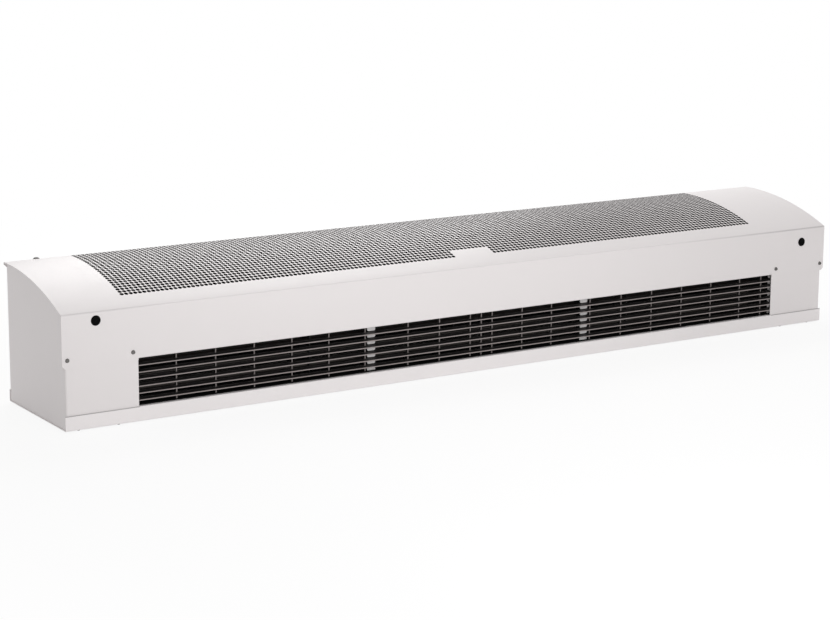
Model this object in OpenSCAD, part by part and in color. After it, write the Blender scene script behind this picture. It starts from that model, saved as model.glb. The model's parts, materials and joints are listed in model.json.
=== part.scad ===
// Over-door air curtain: a perforated sheet-steel casing with a cross-flow fan inside
// X runs along the casing, -Y is the front with the air outlet, +Z is up
// The modules below draw in casing coordinates, with y = 0 on the front face of the cover
// and z = 0 under the base, and placed() moves the whole to its origin under the middle

/* [Casing] */
// Length of the cover from end to end
cover_length = 1610; // [1500:10:1900]
// Depth of the casing from front to back
casing_depth = 232; // [228:1:250]
// Height of the casing from the base to the back of the curved top
casing_height = 236; // [232:1:250]
// Radius of the curved top
top_radius = 535; // [450:5:650]
// Height of the fold between the flat front and the curved top
fold_height = 188; // [182:1:194]
// Inner radius of the folds in the casing sheets
fold_inner_radius = 2.2; // [2.2:0.2:5]
// Outer radius of the small folds along the outlet and round the base
hem_radius = 1.8; // [1.8:0.2:2.6]
// Thickness of the painted casing sheet
sheet = 1.2; // [0.9:0.1:1.4]
// Height of the lower edge of the cover beside the outlet
cover_edge = 101; // [98:1:104]
// Overhang of the cover past each end panel
cover_overhang = 5; // [3:0.5:8]
// Overhang of the base past each end panel
base_overhang = 1.5; // [0:0.5:3]
// Height of the flange that the cover has down its back
back_flange = 9; // [8:0.5:12]
// Height of the rail along the lower front edge
rail_height = 24.5; // [22:0.5:28]
// Height of the lip along the lower back edge
back_lip_height = 20; // [12:1:30]
// Width of the folded rims round the end panels
rim_width = 14; // [12:1:20]

/* [Intake] */
// Distance of the perforated field from the left end of the cover
intake_offset = 119; // [110:1:140]
// Distance of the field from the right end of the cover
intake_end_gap = 171; // [160:1:200]
// Distance of the field from the front face
intake_front = 36; // [30:1:42]
// Distance of the field from the back of the casing
intake_back_gap = 4; // [4:1:28]
// Spacing of the air windows
window_pitch = 24; // [24:1:48]
// Side of a square air window
window_side = 15; // [10:1:18]
// Length of the closed patch at the front edge of the field
patch_length = 72; // [48:24:120]

/* [Outlet] */
// Distance between the outlet opening and each end panel
end_compartment = 127; // [124:1:140]
// Height of the upper edge of the outlet above the base
outlet_top = 104; // [100:1:106]
// Depth of the hems along the outlet's upper and lower edges
hem_depth = 8; // [6:0.5:8]
// Number of blades across the outlet
blade_count = 6; // [4:1:6]
// Spacing of the blades
blade_pitch = 11.5; // [10:0.5:12]
// Height of the front edge of the lowest blade
lowest_blade = 33; // [31:0.5:35]
// Depth of a blade from front to back
blade_depth = 12; // [10:0.5:12]
// Rise of a blade from its front edge to its back edge
blade_rise = 2.8; // [0:0.2:3]
// Thickness of a blade
blade_thickness = 1.6; // [1.2:0.1:2]
// Setback of the blades behind the front face
blade_setback = 3.2; // [3.2:0.2:5]
// Spacing of the ribs on both sides of the middle
inner_rib_pitch = 65.3; // [60:0.1:70]
// Number of equal spaces between the ribs of an outer section
outer_rib_spaces = 5; // [4:1:7]
// Thickness of a rib along the casing
rib_thickness = 2; // [1.2:0.2:3]
// Distance of the grille's joints and supports from the middle
comb_distance = 228; // [226:1:230]
// Width of the grille supports
comb_width = 16; // [12:1:18]

/* [Fan] */
// Distance of the cross-flow wheels behind the front face
fan_front_gap = 76; // [76:1:84]
// Distance of the wheels in front of the back of the cover
fan_back_gap = 52; // [50:1:60]
// Height of the fan axis above the base
fan_height = 126; // [124:1:130]
// Width of the ring of fan blades
fan_blade_width = 11; // [10:0.5:16]
// Number of blades round each wheel
fan_blades = 24; // [16:1:32]
// Radius of curvature of a fan blade
fan_blade_curve = 12; // [10:1:16]
// Thickness of a fan blade
fan_blade_thickness = 1.2; // [0.8:0.1:1.6]
// Distance of the outer end of each wheel inside the outlet's end
wheel_end_gap = 21; // [20:1:60]
// Number of stretches that the rings divide each wheel into
wheel_stretches = 5; // [3:1:6]
// Thickness of the wheel discs and rings
disc_thickness = 2; // [1.5:0.1:3]
// Radius of the fan shafts
shaft_radius = 5; // [4:0.5:6]
// Gap between the wheels and the lip of the tongue
tongue_gap = 5; // [4:0.5:7]
// Gap between the wheels and the start of the scroll
scroll_gap = 7; // [6:0.5:9]

/* [Mounting] */
// Distance of each wall bracket from the end panel
bracket_end_gap = 200; // [160:10:400]
// Stand-off of the back panel's bracket plane behind the casing
bracket_standoff = 14; // [12:1:20]
// Distance of the upper end of the wall brackets below the top of the casing
bracket_top_gap = 36; // [14:1:40]
// Height of the lower end of the wall brackets
bracket_foot = 50; // [40:1:60]
// Width of the web of a wall bracket
bracket_web = 44; // [40:1:50]
// Distance of each wall-bolt hole from the end of its bracket
bolt_inset = 20; // [14:1:30]
// Radius of a wall-bolt hole
bolt_hole_radius = 4.5; // [4:0.5:5.5]
// Radius of the hole in the cable grommet
cable_radius = 6; // [4:0.5:7]

/* [Hidden] */

// Roundness of small and of large circles, and steps round a small fold
$fn = 64;
top_facets = 720;
fold_steps = 6;
// Reach of every cut past the faces that it goes through
overrun = 1;
// Gap between neighbouring sheets and pieces
fit_gap = 0.3;
// Gap round a pin or ring nested in its own seat
nest_gap = 0.1;
// Running clearance of the shafts in their bearings
running_gap = 0.05;

// Centre of the curved top, from the fold and the back edge that it passes through
top_chord = [casing_depth, casing_height - fold_height];
top_reach = sqrt(pow(top_radius, 2) - pow(norm(top_chord) / 2, 2));
top_centre = [0, fold_height] + top_chord / 2
    + top_reach / norm(top_chord) * [top_chord[1], -top_chord[0]];
// Centre of the rounding at the fold, inside the front line and the curved top
fold_radius = fold_inner_radius + sheet;
fold_drop = sqrt(pow(top_radius - fold_radius, 2) - pow(fold_radius - top_centre[0], 2));
fold_centre = [fold_radius, top_centre[1] + fold_drop];
fold_way = (fold_centre - top_centre) / norm(fold_centre - top_centre);

// Height of the curved top at a depth, for a sheet inset from it
function top_level(depth, inset) = top_centre[1]
    + sqrt(pow(top_radius - inset, 2) - pow(depth - top_centre[0], 2));
section_top = top_centre[1] + top_radius + overrun;

// Depths and heights at which the sheets lie behind one another
panel_inset = sheet + fit_gap;
inner_inset = panel_inset + sheet + fit_gap;
floor_top = sheet + fit_gap;
rim_top = floor_top + sheet + fit_gap;
side_face = cover_length / 2 - cover_overhang;
base_half = side_face + base_overhang;
back_outer = casing_depth - inner_inset;
back_inner = back_outer - sheet;
outlet_end = side_face - end_compartment;
outlet_length = 2 * outlet_end;
partition_gap = 13;
partition_face = outlet_end + partition_gap;
duct_half = partition_face - fit_gap;

// Screws: pan heads with a cross recess
screw_head_radius = 3.6;
screw_head_height = 2.4;
screw_head_top_radius = 2.6;
screw_radius = 2;
screw_length = 7;
screw_hole = screw_radius + fit_gap;
recess_width = 0.9;
recess_length = 3.6;
recess_depth = 1;
cover_screw_rise = 14;
cover_screw_height = cover_edge + cover_screw_rise;
cover_screw_end_gap = 4;
cover_screw_inner_gap = 9.3;
base_screw_setback = 10;
base_screw_end_gap = 24;
base_screw_inner_gap = 33;
base_screw_gaps = [base_screw_end_gap, end_compartment - base_screw_inner_gap];
flank_lap = 20;
flank_foot = 20;
cover_screw_places = [side_face - cover_screw_end_gap, outlet_end + cover_screw_inner_gap];

// Plugged holes in the front of the cover
left_plug_drop = 14;
right_plug_drop = 26;
left_plug_height = fold_height - left_plug_drop;
right_plug_height = fold_height - right_plug_drop;
plug_end_gap = 54;
plug_distance = side_face - plug_end_gap;
plug_hole_radius = 7.4;
plug_head_radius = 8.4;
plug_head_height = 1;
plug_wall = 1.2;
plug_depth = 7;

// Duct: scroll behind the wheels, tongue in front of them
duct_sheet = 1;
duct_floor = 26;
scroll_start = 60;
scroll_end = -90;
scroll_steps = 30;
scroll_flange_drop = 39;
tongue_height = 107;
tongue_lip_end = 165;
tongue_flange = 20;

// Wheels: as large as the depth of the casing allows
fan_radius = (casing_depth - fan_front_gap - fan_back_gap) / 2;
fan_depth = fan_front_gap + fan_radius;
fan_inner_radius = fan_radius - fan_blade_width;

// Wheel hubs and shafts
hub_radius = 12;
hub_length = 18;
hub_fit = 0.02;
ring_width = 14;
wheel_gap = 24;
wheel_end = outlet_end - wheel_end_gap;
wheel_length = wheel_end - wheel_gap;
shaft_overlap = hub_length - disc_thickness;
end_shaft_reach = 22;

// Bearings
bearing_radius = 11;
bearing_length = 16;
bearing_ring_radius = 17;
bearing_ring_length = 12;
bearing_seat_radius = bearing_ring_radius + nest_gap;
bearing_wall = 5;
bracket_plate = 3;
bearing_foot_depth = 28;
bearing_foot_width = 34;
housing_flange_radius = 32;
housing_flange = 2;
housing_screw_circle = 27;
partition_hole_radius = 15;

// Motor, hung on rubber from the outer side of the right partition
motor_radius = 42;
motor_end_gap = 19.3;
motor_bore_radius = 25;
motor_rotor_radius = 24.5;
rotor_end_gap = 5;
motor_cap_thickness = 11;
motor_cap_dome = 30;
motor_boss_radius = 13;
motor_boss_height = 5;
motor_plate_size = 104;
motor_plate_thickness = 2;
motor_plate_hole = 16;
motor_mount_spacing = 84;
rubber_radius = 8;
rubber_length = 9;
motor_rubber_start = partition_face + sheet + nest_gap;
motor_plate_start = motor_rubber_start + rubber_length + nest_gap;
motor_start = motor_plate_start + motor_plate_thickness + nest_gap;
motor_body_start = motor_start + motor_cap_thickness;
motor_shaft_end = side_face - sheet - motor_end_gap;
motor_body_end = motor_shaft_end - motor_boss_height - motor_cap_thickness;
motor_length = motor_body_end - motor_body_start;
motor_rotor_length = motor_length - 2 * rotor_end_gap;
motor_screw_length = rubber_length + motor_plate_thickness + sheet + overrun;

// Heaters: three hairpins one above the other in the outlet duct
heater_radius = 4.25;
heater_front_leg = 38;
heater_bend_radius = 10;
heater_heights = [46, 66.5, 87];
heater_end_gap = 33;
heater_end = outlet_end - heater_end_gap;
heater_tail = 18;
heater_pin_radius = 1.8;
heater_pin_length = 9;
heater_support_gap = 300;
heater_support_distance = heater_end - heater_support_gap;
heater_support_front = 29;
heater_support_depth = 38;
heater_support_foot = 12;
bush_radius = 6.2;
bush_flange_radius = 8.5;
bush_flange = 3;
bush_reach = 5;
heater_legs = [heater_front_leg, heater_front_leg + 2 * heater_bend_radius];

// Grille ribs, from the middle of the casing outwards
first_rib = 23.4;
inner_ribs = [for (i = [0:2]) first_rib + i * inner_rib_pitch];
outer_rib_gap = 13.3;
last_rib_pitch = 54;
last_rib_gap = 18.2;
outer_rib_start = comb_distance + outer_rib_gap;
last_rib = outlet_end - last_rib_gap;
outer_rib_pitch = (last_rib - last_rib_pitch - outer_rib_start) / outer_rib_spaces;
outer_ribs = [for (i = [0:outer_rib_spaces]) outer_rib_start + i * outer_rib_pitch];
rib_front = 11;
grille_reach = 5;
blade_back = blade_setback + blade_depth;
rib_bottom = duct_floor + fit_gap;
rib_top = tongue_height - fit_gap;

// Grille supports: angles with a notch for each blade
comb_front = 12.6;
comb_sheet = 1.2;
comb_leg = 12;
comb_notch_below = 0.5;
comb_notch_above = 2.2;
comb_corner = 2.6;
end_comb_width = 5;
end_comb_gap = 2;
end_comb_start = outlet_end + end_comb_gap;

// Electrics in the left compartment
plate_setback = 22;
plate_height = 78;
plate_thickness = 1.5;
plate_foot = 16;
plate_gap = 16;
plate_end_gap = 18;
plate_start = partition_face + plate_gap;
plate_length = side_face - plate_end_gap - plate_start;
block_margin = 5;
block_size = [plate_length - 2 * block_margin, 20, 26];
block_poles = 6;
block_well_radius = 3;
block_well_depth = 14;
block_slot = 3;
block_level = 9;
contactor_size = [45, 36, 40];
contactor_step = 8;
contactor_gap = 2;
cutout_radius = 8;
cutout_height = 7;
cutout_flange_length = 24;
cutout_flange_width = 8;
cutout_flange = 1;
cutout_depth = 60;
cutout_level = 150;
capacitor_radius = 17;
capacitor_length = 62;
capacitor_depth = 44;
capacitor_level = 30;
capacitor_gap = 24;
capacitor_start = partition_face + capacitor_gap;
clip_width = 14;
clip_wall = 1.2;

// Cable grommet and earth bolt on the back panel
grommet_end_gap = 54;
grommet_level = 96;
grommet_place = [grommet_end_gap - side_face, grommet_level];
grommet_radius = 13;
grommet_flange_radius = 16;
grommet_flange = 2.5;
earth_end_gap = 53.5;
earth_drop = 4.8;
earth_place = [earth_end_gap - side_face, casing_height - earth_drop];
hex_radius = 4.6;
earth_head = 3.5;
earth_radius = 2.5;
earth_length = 5;
washer_radius = 7.2;
washer_thickness = 3;

// Wall brackets
bracket_sheet = 2;
bracket_foot_width = 14;
wall_plane = casing_depth + bracket_standoff;
bracket_screw_inset = 20;
bracket_distance = side_face - bracket_end_gap;
bracket_height = casing_height - bracket_top_gap - bracket_foot;
bolt_levels = [bracket_foot + bolt_inset, bracket_foot + bracket_height - bolt_inset];

// Place of the casing, with the origin under the middle of the whole object
front_y = (screw_head_height - wall_plane) / 2;
foot_z = screw_head_height;

module placed() {
    translate([0, front_y, foot_z]) children();
}

// A profile in depth and height, drawn out along the casing from start
module along(length, start) {
    translate([start, 0, 0]) rotate([90, 0, 90]) linear_extrude(length) children();
}

// Both ends of the casing, or the left end made from the right one
module left() {
    mirror([1, 0, 0]) children();
}

module both_ends() {
    children();
    left() children();
}

// Cross-section of the casing, inset from its outer face, above a low line
module section(inset, low) {
    difference() {
        intersection() {
            translate(top_centre) circle(r = top_radius - inset, $fn = top_facets);
            translate([inset, low])
                square([casing_depth - 2 * inset, section_top - low]);
        }
        if (inset < fold_radius) difference() {
            polygon([fold_centre, fold_centre - [2 * fold_radius, 0],
                fold_centre + 2 * fold_radius * (fold_way - [1, 0]),
                fold_centre + 2 * fold_radius * fold_way]);
            translate(fold_centre) circle(r = fold_radius - inset);
        }
    }
}

// A round bar along the casing at the given depth and height
module rod(radius, length, start, depth, level) {
    translate([start, depth, level]) rotate([0, 90, 0]) cylinder(r = radius, h = length);
}

// A hole through a front or back sheet
module sheet_hole(radius, place, level, depth) {
    translate([place, depth - overrun, level]) rotate([-90, 0, 0])
        cylinder(r = radius, h = inner_inset + sheet + 2 * overrun);
}

// Pan-head screw along +Z, with its seat at z = 0 and its head below
module pan_screw(length) {
    difference() {
        union() {
            translate([0, 0, -screw_head_height])
                cylinder(r1 = screw_head_top_radius, r2 = screw_head_radius, h = screw_head_height);
            cylinder(r = screw_radius, h = length);
        }
        for (turn = [0, 90]) rotate([0, 0, turn])
            translate([-recess_length / 2, -recess_width / 2, -screw_head_height - overrun])
                cube([recess_length, recess_width, recess_depth + overrun]);
    }
}

// Triangle outside the clipped corner where an edge at the given height meets the overhang
module corner_clip(edge, depth, thickness) {
    translate([0, depth + thickness, 0]) rotate([90, 0, 0]) linear_extrude(thickness)
        polygon([[side_face - overrun, edge - overrun],
            [side_face + cover_overhang + overrun, edge - overrun],
            [side_face + cover_overhang + overrun, edge + cover_overhang + overrun]]);
}

module intake_windows() {
    columns = floor((cover_length - intake_offset - intake_end_gap) / window_pitch);
    rows = floor((casing_depth - intake_front - intake_back_gap) / window_pitch);
    margin = (window_pitch - window_side) / 2;
    for (column = [0:columns - 1], row = [0:rows - 1]) {
        left_edge = intake_offset - cover_length / 2 + column * window_pitch + margin;
        middle = left_edge + window_side / 2;
        if (row > 0 || abs(middle) > patch_length / 2)
            translate([left_edge, intake_front + row * window_pitch + margin, cover_edge])
                cube([window_side, window_side, casing_height]);
    }
}

module front_cover() {
    flange_bottom = casing_height - back_flange;
    color("whitesmoke") difference() {
        along(cover_length, -cover_length / 2) difference() {
            section(0, cover_edge);
            section(sheet, 0);
            translate([casing_depth - sheet - overrun, 0])
                square([sheet + 2 * overrun, flange_bottom]);
        }
        translate([-outlet_end, -overrun, cover_edge - overrun])
            cube([outlet_length, sheet + 2 * overrun,
                outlet_top + hem_radius + overrun - cover_edge]);
        both_ends() {
            corner_clip(cover_edge, -overrun, sheet + 2 * overrun);
            corner_clip(flange_bottom, casing_depth - sheet - overrun, sheet + 2 * overrun);
            for (place = cover_screw_places)
                sheet_hole(screw_hole, place, cover_screw_height, 0);
        }
        sheet_hole(plug_hole_radius, -plug_distance, left_plug_height, 0);
        sheet_hole(plug_hole_radius, plug_distance, right_plug_height, 0);
        sheet_hole(earth_radius + fit_gap, earth_place[0], earth_place[1], casing_depth - sheet);
        intake_windows();
    }
    color("whitesmoke") along(outlet_length, -outlet_end)
        polygon(concat(hem_line(0), reversed(hem_line(sheet))));
}

// Points round a fold, and the lines of the folded sheets at a given inset
function fold(centre, radius, start, end) = [for (i = [0:fold_steps])
    let (turn = start + (end - start) * i / fold_steps) centre + radius * [cos(turn), sin(turn)]];
function hem_line(inset) = concat([[inset, outlet_top + hem_radius]],
    fold([hem_radius, outlet_top + hem_radius], hem_radius - inset, 180, 270),
    [[hem_depth, outlet_top + inset]]);
function rail_line(inset) = concat([[hem_depth, rail_height - inset]],
    fold([hem_radius, rail_height - hem_radius], hem_radius - inset, 90, 180));
function tray_line(inset) = concat(
    fold([hem_radius, hem_radius], hem_radius - inset, 180, 270),
    fold([casing_depth - hem_radius, hem_radius], hem_radius - inset, 270, 360),
    [[casing_depth - inset, back_lip_height]]);

// End panel with folded rims, whose front is folded on to flank the outlet
module side_panel() {
    flank_start = outlet_end;
    flank_length = side_face - flank_start;
    flank_top = cover_edge + flank_lap;
    color("gainsboro") difference() {
        union() {
            along(sheet, side_face - sheet) section(panel_inset, floor_top);
            along(rim_width, side_face - rim_width) difference() {
                section(panel_inset, floor_top);
                section(panel_inset + sheet, floor_top + sheet);
            }
            translate([flank_start, panel_inset, floor_top])
                cube([flank_length, sheet, flank_top - floor_top]);
            translate([flank_start, panel_inset, floor_top])
                cube([flank_length, flank_foot, sheet]);
        }
        translate([side_face - fold_radius, panel_inset + fold_radius, 0])
            linear_extrude(cover_edge) difference() {
                translate([0, -2 * fold_radius]) square(2 * fold_radius);
                circle(r = fold_radius);
            }
        for (place = cover_screw_places) sheet_hole(screw_hole, place, cover_screw_height, 0);
        for (gap = base_screw_gaps)
            translate([side_face - gap, base_screw_setback, 0]) cylinder(r = screw_hole, h = rail_height);
    }
}

// Tray under the casing, with the front rail, its hem and the back lip
module base_panel() {
    hemmed = concat(rail_line(0), tray_line(0),
        reversed(concat(rail_line(sheet), tray_line(sheet))));
    plain = concat([[0, rail_height]], tray_line(0), reversed(tray_line(sheet)),
        [[sheet, rail_height]]);
    color("gainsboro") difference() {
        union() {
            along(outlet_length, -outlet_end) polygon(hemmed);
            both_ends() along(base_half - outlet_end, outlet_end) polygon(plain);
        }
        both_ends() for (gap = base_screw_gaps, depth = base_screw_rows())
            translate([side_face - gap, depth, -overrun])
                cylinder(r = screw_hole, h = sheet + 2 * overrun);
    }
}

function base_screw_rows() = [base_screw_setback, back_inner - base_screw_setback];

module back_panel() {
    panel_half = side_face - sheet - fit_gap;
    top_line = min([for (depth = [back_inner - rim_width, back_outer])
        top_level(depth, inner_inset + sheet)]);
    color("lightgray") difference() {
        along(2 * panel_half, -panel_half) {
            translate([back_inner, rim_top]) square([sheet, top_line - rim_top]);
            translate([back_inner - rim_width, top_line - sheet])
                square([rim_width + overrun, sheet]);
            translate([back_inner - rim_width, rim_top]) square([rim_width + overrun, sheet]);
        }
        both_ends() {
            for (gap = base_screw_gaps)
                translate([side_face - gap, back_inner - base_screw_setback, 0])
                    cylinder(r = screw_hole, h = rail_height);
            for (level = bracket_screw_levels(), place = bracket_screw_places())
                sheet_hole(screw_hole, place, level, back_inner);
        }
        sheet_hole(grommet_radius - grommet_flange, grommet_place[0], grommet_place[1], back_inner);
        sheet_hole(earth_radius + fit_gap, earth_place[0], earth_place[1], back_inner);
    }
}

// Wall across the casing at the end of the duct
module partition_plate() {
    difference() {
        union() {
            along(sheet, partition_face) partition_outline(0);
            along(rim_width, partition_face) difference() {
                partition_outline(0);
                partition_outline(sheet);
            }
        }
        rod(partition_hole_radius, rim_width + 2 * overrun, partition_face - overrun,
            fan_depth, fan_height);
    }
}

module partition_outline(inset) {
    intersection() {
        section(inner_inset + inset, rim_top + inset);
        square([back_inner - rim_width - fit_gap - inset, casing_height]);
    }
}

module right_partition() {
    color("silver") difference() {
        partition_plate();
        for (y = [-1, 1], z = [-1, 1])
            rod(screw_hole, sheet + 2 * overrun, partition_face - overrun,
                fan_depth + y * motor_mount_spacing / 2, fan_height + z * motor_mount_spacing / 2);
    }
}

module left_partition() {
    color("silver") difference() {
        left() partition_plate();
        left() {
            for (leg = heater_legs, level = heater_heights)
                rod(bush_radius + nest_gap, sheet + 2 * overrun, partition_face - overrun, leg, level);
            for (turn = [45:90:315]) rotate_about_fan(turn)
                rod(screw_hole, sheet + 2 * overrun, partition_face - overrun,
                    fan_depth + housing_screw_circle, fan_height);
        }
    }
}

module rotate_about_fan(turn) {
    translate([0, fan_depth, fan_height]) rotate([turn, 0, 0])
        translate([0, -fan_depth, -fan_height]) children();
}

// Scroll: radius grows steadily from the start behind the wheels to the duct floor
function scroll_radius(share) = fan_radius + scroll_gap
    + share * (fan_height - duct_floor - fan_radius - scroll_gap);
function scroll_points(offset, first) = [for (i = [first:scroll_steps])
    let (share = i / scroll_steps, turn = scroll_start + share * (scroll_end - scroll_start))
    [fan_depth, fan_height] + (scroll_radius(share) + offset) * [cos(turn), sin(turn)]];
function reversed(list) = [for (i = [len(list) - 1:-1:0]) list[i]];

module scroll_panel() {
    inner = scroll_points(0, 0);
    outer = scroll_points(duct_sheet, 0);
    floor_front = hem_depth + fit_gap;
    flange_end = [back_inner - fit_gap, casing_height - scroll_flange_drop];
    color("lightslategray") along(2 * duct_half, -duct_half)
        polygon(concat([flange_end, outer[0]], inner,
            [[floor_front, duct_floor], [floor_front, duct_floor - duct_sheet]],
            reversed(scroll_points(duct_sheet, 1)), [flange_end - [0, duct_sheet]]));
}

// Tongue: flat roof of the outlet duct with a lip that follows the wheels
module tongue_panel() {
    lip_radius = fan_radius + tongue_gap;
    lip_start = 180 + asin((fan_height - tongue_height) / (lip_radius + duct_sheet));
    lip_reach = 2 * lip_radius;
    roof_end = fan_depth - sqrt(pow(lip_radius, 2)
        - pow(fan_height - tongue_height - duct_sheet, 2));
    color("lightslategray") difference() {
        along(2 * duct_half, -duct_half) {
            translate([inner_inset, tongue_height]) square([duct_sheet, tongue_flange]);
            translate([inner_inset, tongue_height])
                square([roof_end - inner_inset, duct_sheet]);
            translate([fan_depth, fan_height]) intersection() {
                difference() {
                    circle(r = lip_radius + duct_sheet, $fn = top_facets);
                    circle(r = lip_radius, $fn = top_facets);
                }
                polygon([[0, 0], lip_reach * [cos(lip_start), sin(lip_start)],
                    lip_reach * [cos(tongue_lip_end), sin(tongue_lip_end)]]);
            }
        }
        both_ends() sheet_hole(screw_hole, cover_screw_places[1], cover_screw_height, 0);
    }
}

// Section of the outlet grille: tilted blades carried by upright ribs
module outlet_grille(start, end, ribs) {
    color("dimgray") {
        for (i = [0:blade_count - 1]) along(end - start, start) blade_profile(i);
        for (place = ribs)
            translate([place - rib_thickness / 2, rib_front, rib_bottom])
                cube([rib_thickness, blade_back - rib_front, rib_top - rib_bottom]);
    }
}

module outer_grille(ribs) {
    outlet_grille(comb_distance + fit_gap / 2, outlet_end + grille_reach, ribs);
}

module centre_grille() {
    reach = comb_distance - fit_gap / 2;
    outlet_grille(-reach, reach, concat([0], inner_ribs, -inner_ribs));
}

module blade_profile(i) {
    translate([blade_setback, lowest_blade + i * blade_pitch])
        polygon([[0, 0], [blade_depth, blade_rise],
            [blade_depth, blade_rise + blade_thickness], [0, blade_thickness]]);
}

// Upright angle that steadies the blades: a notch for each, and rounded tabs between
module grille_comb(start, width) {
    notch_end = blade_back + fit_gap;
    notch_rise = blade_rise * (notch_end - blade_setback) / blade_depth;
    notch_low_rise = blade_rise * (comb_front - blade_setback) / blade_depth;
    notch_height = notch_rise - notch_low_rise + blade_thickness
        + comb_notch_below + comb_notch_above;
    color("silver") difference() {
        translate([start, 0, rib_bottom]) linear_extrude(rib_top - rib_bottom)
            polygon([[0, comb_front], [width, comb_front], [width, comb_front + comb_sheet],
                [comb_sheet, comb_front + comb_sheet], [comb_sheet, comb_front + comb_leg],
                [0, comb_front + comb_leg]]);
        for (i = [0:blade_count - 1]) {
            level = lowest_blade + i * blade_pitch + notch_low_rise - comb_notch_below;
            translate([start - overrun, comb_front - overrun, level])
                cube([width + 2 * overrun, notch_end + overrun - comb_front, notch_height]);
            for (edge = [0, 1])
                translate([start + edge * width, comb_front + comb_sheet + overrun,
                    level + notch_height])
                    rotate([90, 0, 0]) linear_extrude(comb_sheet + 2 * overrun)
                        tab_corner(edge);
        }
    }
}

// What is cut off a lower corner of a tab, on its left (0) or right (1) edge
module tab_corner(edge) {
    inward = 1 - 2 * edge;
    difference() {
        translate([-comb_corner, -comb_corner]) square(2 * comb_corner);
        translate([inward * comb_corner, comb_corner]) circle(r = comb_corner);
        translate([edge == 0 ? comb_corner : -2 * comb_corner, -2 * comb_corner])
            square([comb_corner, 4 * comb_corner]);
    }
}

// Cross-flow wheel: curved blades between end discs, with rings along them
module fan_wheel() {
    stretch = (wheel_length - disc_thickness) / wheel_stretches;
    color("darkgray") difference() {
        union() {
            along(wheel_length, wheel_gap) translate([fan_depth, fan_height])
                for (i = [0:fan_blades - 1]) rotate(i * 360 / fan_blades) fan_blade();
            for (i = [1:wheel_stretches - 1])
                along(disc_thickness, wheel_gap + i * stretch) translate([fan_depth, fan_height])
                    difference() {
                        circle(r = fan_radius);
                        circle(r = fan_radius - ring_width);
                    }
            for (start = [wheel_gap, wheel_end - disc_thickness])
                rod(fan_radius, disc_thickness, start, fan_depth, fan_height);
            for (start = [wheel_gap, wheel_end - hub_length])
                rod(hub_radius, hub_length, start, fan_depth, fan_height);
        }
        rod(shaft_radius + hub_fit, wheel_length + 2 * overrun, wheel_gap - overrun,
            fan_depth, fan_height);
    }
}

// One blade: a slice of a thin tube between the inner and the outer radius
module fan_blade() {
    middle_radius = (fan_radius + fan_inner_radius) / 2;
    intersection() {
        translate([middle_radius, -fan_blade_curve]) difference() {
            circle(r = fan_blade_curve + fan_blade_thickness / 2);
            circle(r = fan_blade_curve - fan_blade_thickness / 2);
        }
        difference() {
            circle(r = fan_radius - fan_blade_thickness / 2);
            circle(r = fan_inner_radius);
        }
        translate([fan_inner_radius - fan_blade_thickness, -fan_blade_curve])
            square([fan_radius - fan_inner_radius + fan_blade_thickness, 2 * fan_blade_curve]);
    }
}

module shaft(start, end) {
    color("lightsteelblue") rod(shaft_radius, end - start, start, fan_depth, fan_height);
}

module centre_shaft() {
    reach = wheel_gap + shaft_overlap;
    shaft(-reach, reach);
}

module left_end_shaft() {
    left() shaft(wheel_end - shaft_overlap, partition_face + end_shaft_reach);
}

module motor_shaft() {
    shaft(wheel_end - shaft_overlap, motor_shaft_end);
}

module motor_rotor() {
    color("slategray") difference() {
        rod(motor_rotor_radius, motor_rotor_length, rotor_start(), fan_depth, fan_height);
        rod(shaft_radius + hub_fit, motor_rotor_length + 2 * overrun,
            rotor_start() - overrun, fan_depth, fan_height);
    }
}

function rotor_start() = (motor_body_start + motor_body_end - motor_rotor_length) / 2;

module motor_body() {
    color("gray") difference() {
        rod(motor_radius, motor_length, motor_body_start, fan_depth, fan_height);
        rod(motor_bore_radius, motor_length + 2 * overrun, motor_body_start - overrun,
            fan_depth, fan_height);
    }
}

// Cap with a sloped rim and a boss round the shaft
module motor_cap(start, direction) {
    color("lightgray") translate([start, fan_depth, fan_height]) rotate([0, direction * 90, 0])
        difference() {
            union() {
                cylinder(r1 = motor_radius, r2 = motor_cap_dome, h = motor_cap_thickness);
                cylinder(r = motor_boss_radius, h = motor_cap_thickness + motor_boss_height - overrun);
            }
            translate([0, 0, -overrun])
                cylinder(r = shaft_radius + running_gap,
                    h = motor_cap_thickness + motor_boss_height + 2 * overrun);
        }
}

// Square plate that carries the motor on four rubber mounts
module motor_plate() {
    color("silver") difference() {
        translate([motor_plate_start, fan_depth - motor_plate_size / 2,
            fan_height - motor_plate_size / 2])
            cube([motor_plate_thickness, motor_plate_size, motor_plate_size]);
        rod(motor_plate_hole, motor_plate_thickness + 2 * overrun, motor_plate_start - overrun,
            fan_depth, fan_height);
        motor_corners() rod(screw_hole, motor_plate_thickness + 2 * overrun,
            motor_plate_start - overrun, 0, 0);
    }
}

module motor_corners() {
    for (y = [-1, 1], z = [-1, 1])
        translate([0, fan_depth + y * motor_mount_spacing / 2,
            fan_height + z * motor_mount_spacing / 2]) children();
}

module motor_rubber_mounts() {
    color("black") motor_corners() difference() {
        rod(rubber_radius, rubber_length, motor_rubber_start, 0, 0);
        rod(screw_hole, rubber_length + 2 * overrun, motor_rubber_start - overrun, 0, 0);
    }
}

module motor_screws() {
    color("lightsteelblue") motor_corners()
        translate([motor_plate_start + motor_plate_thickness, 0, 0]) rotate([0, -90, 0])
            pan_screw(motor_screw_length);
}

module bearing(start) {
    color("peru") difference() {
        rod(bearing_radius, bearing_length, start, fan_depth, fan_height);
        rod(shaft_radius + running_gap, bearing_length + 2 * overrun, start - overrun,
            fan_depth, fan_height);
    }
}

module bearing_ring(start) {
    color("black") difference() {
        rod(bearing_ring_radius, bearing_ring_length, start, fan_depth, fan_height);
        rod(bearing_radius + nest_gap, bearing_ring_length + 2 * overrun, start - overrun,
            fan_depth, fan_height);
    }
}

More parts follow.
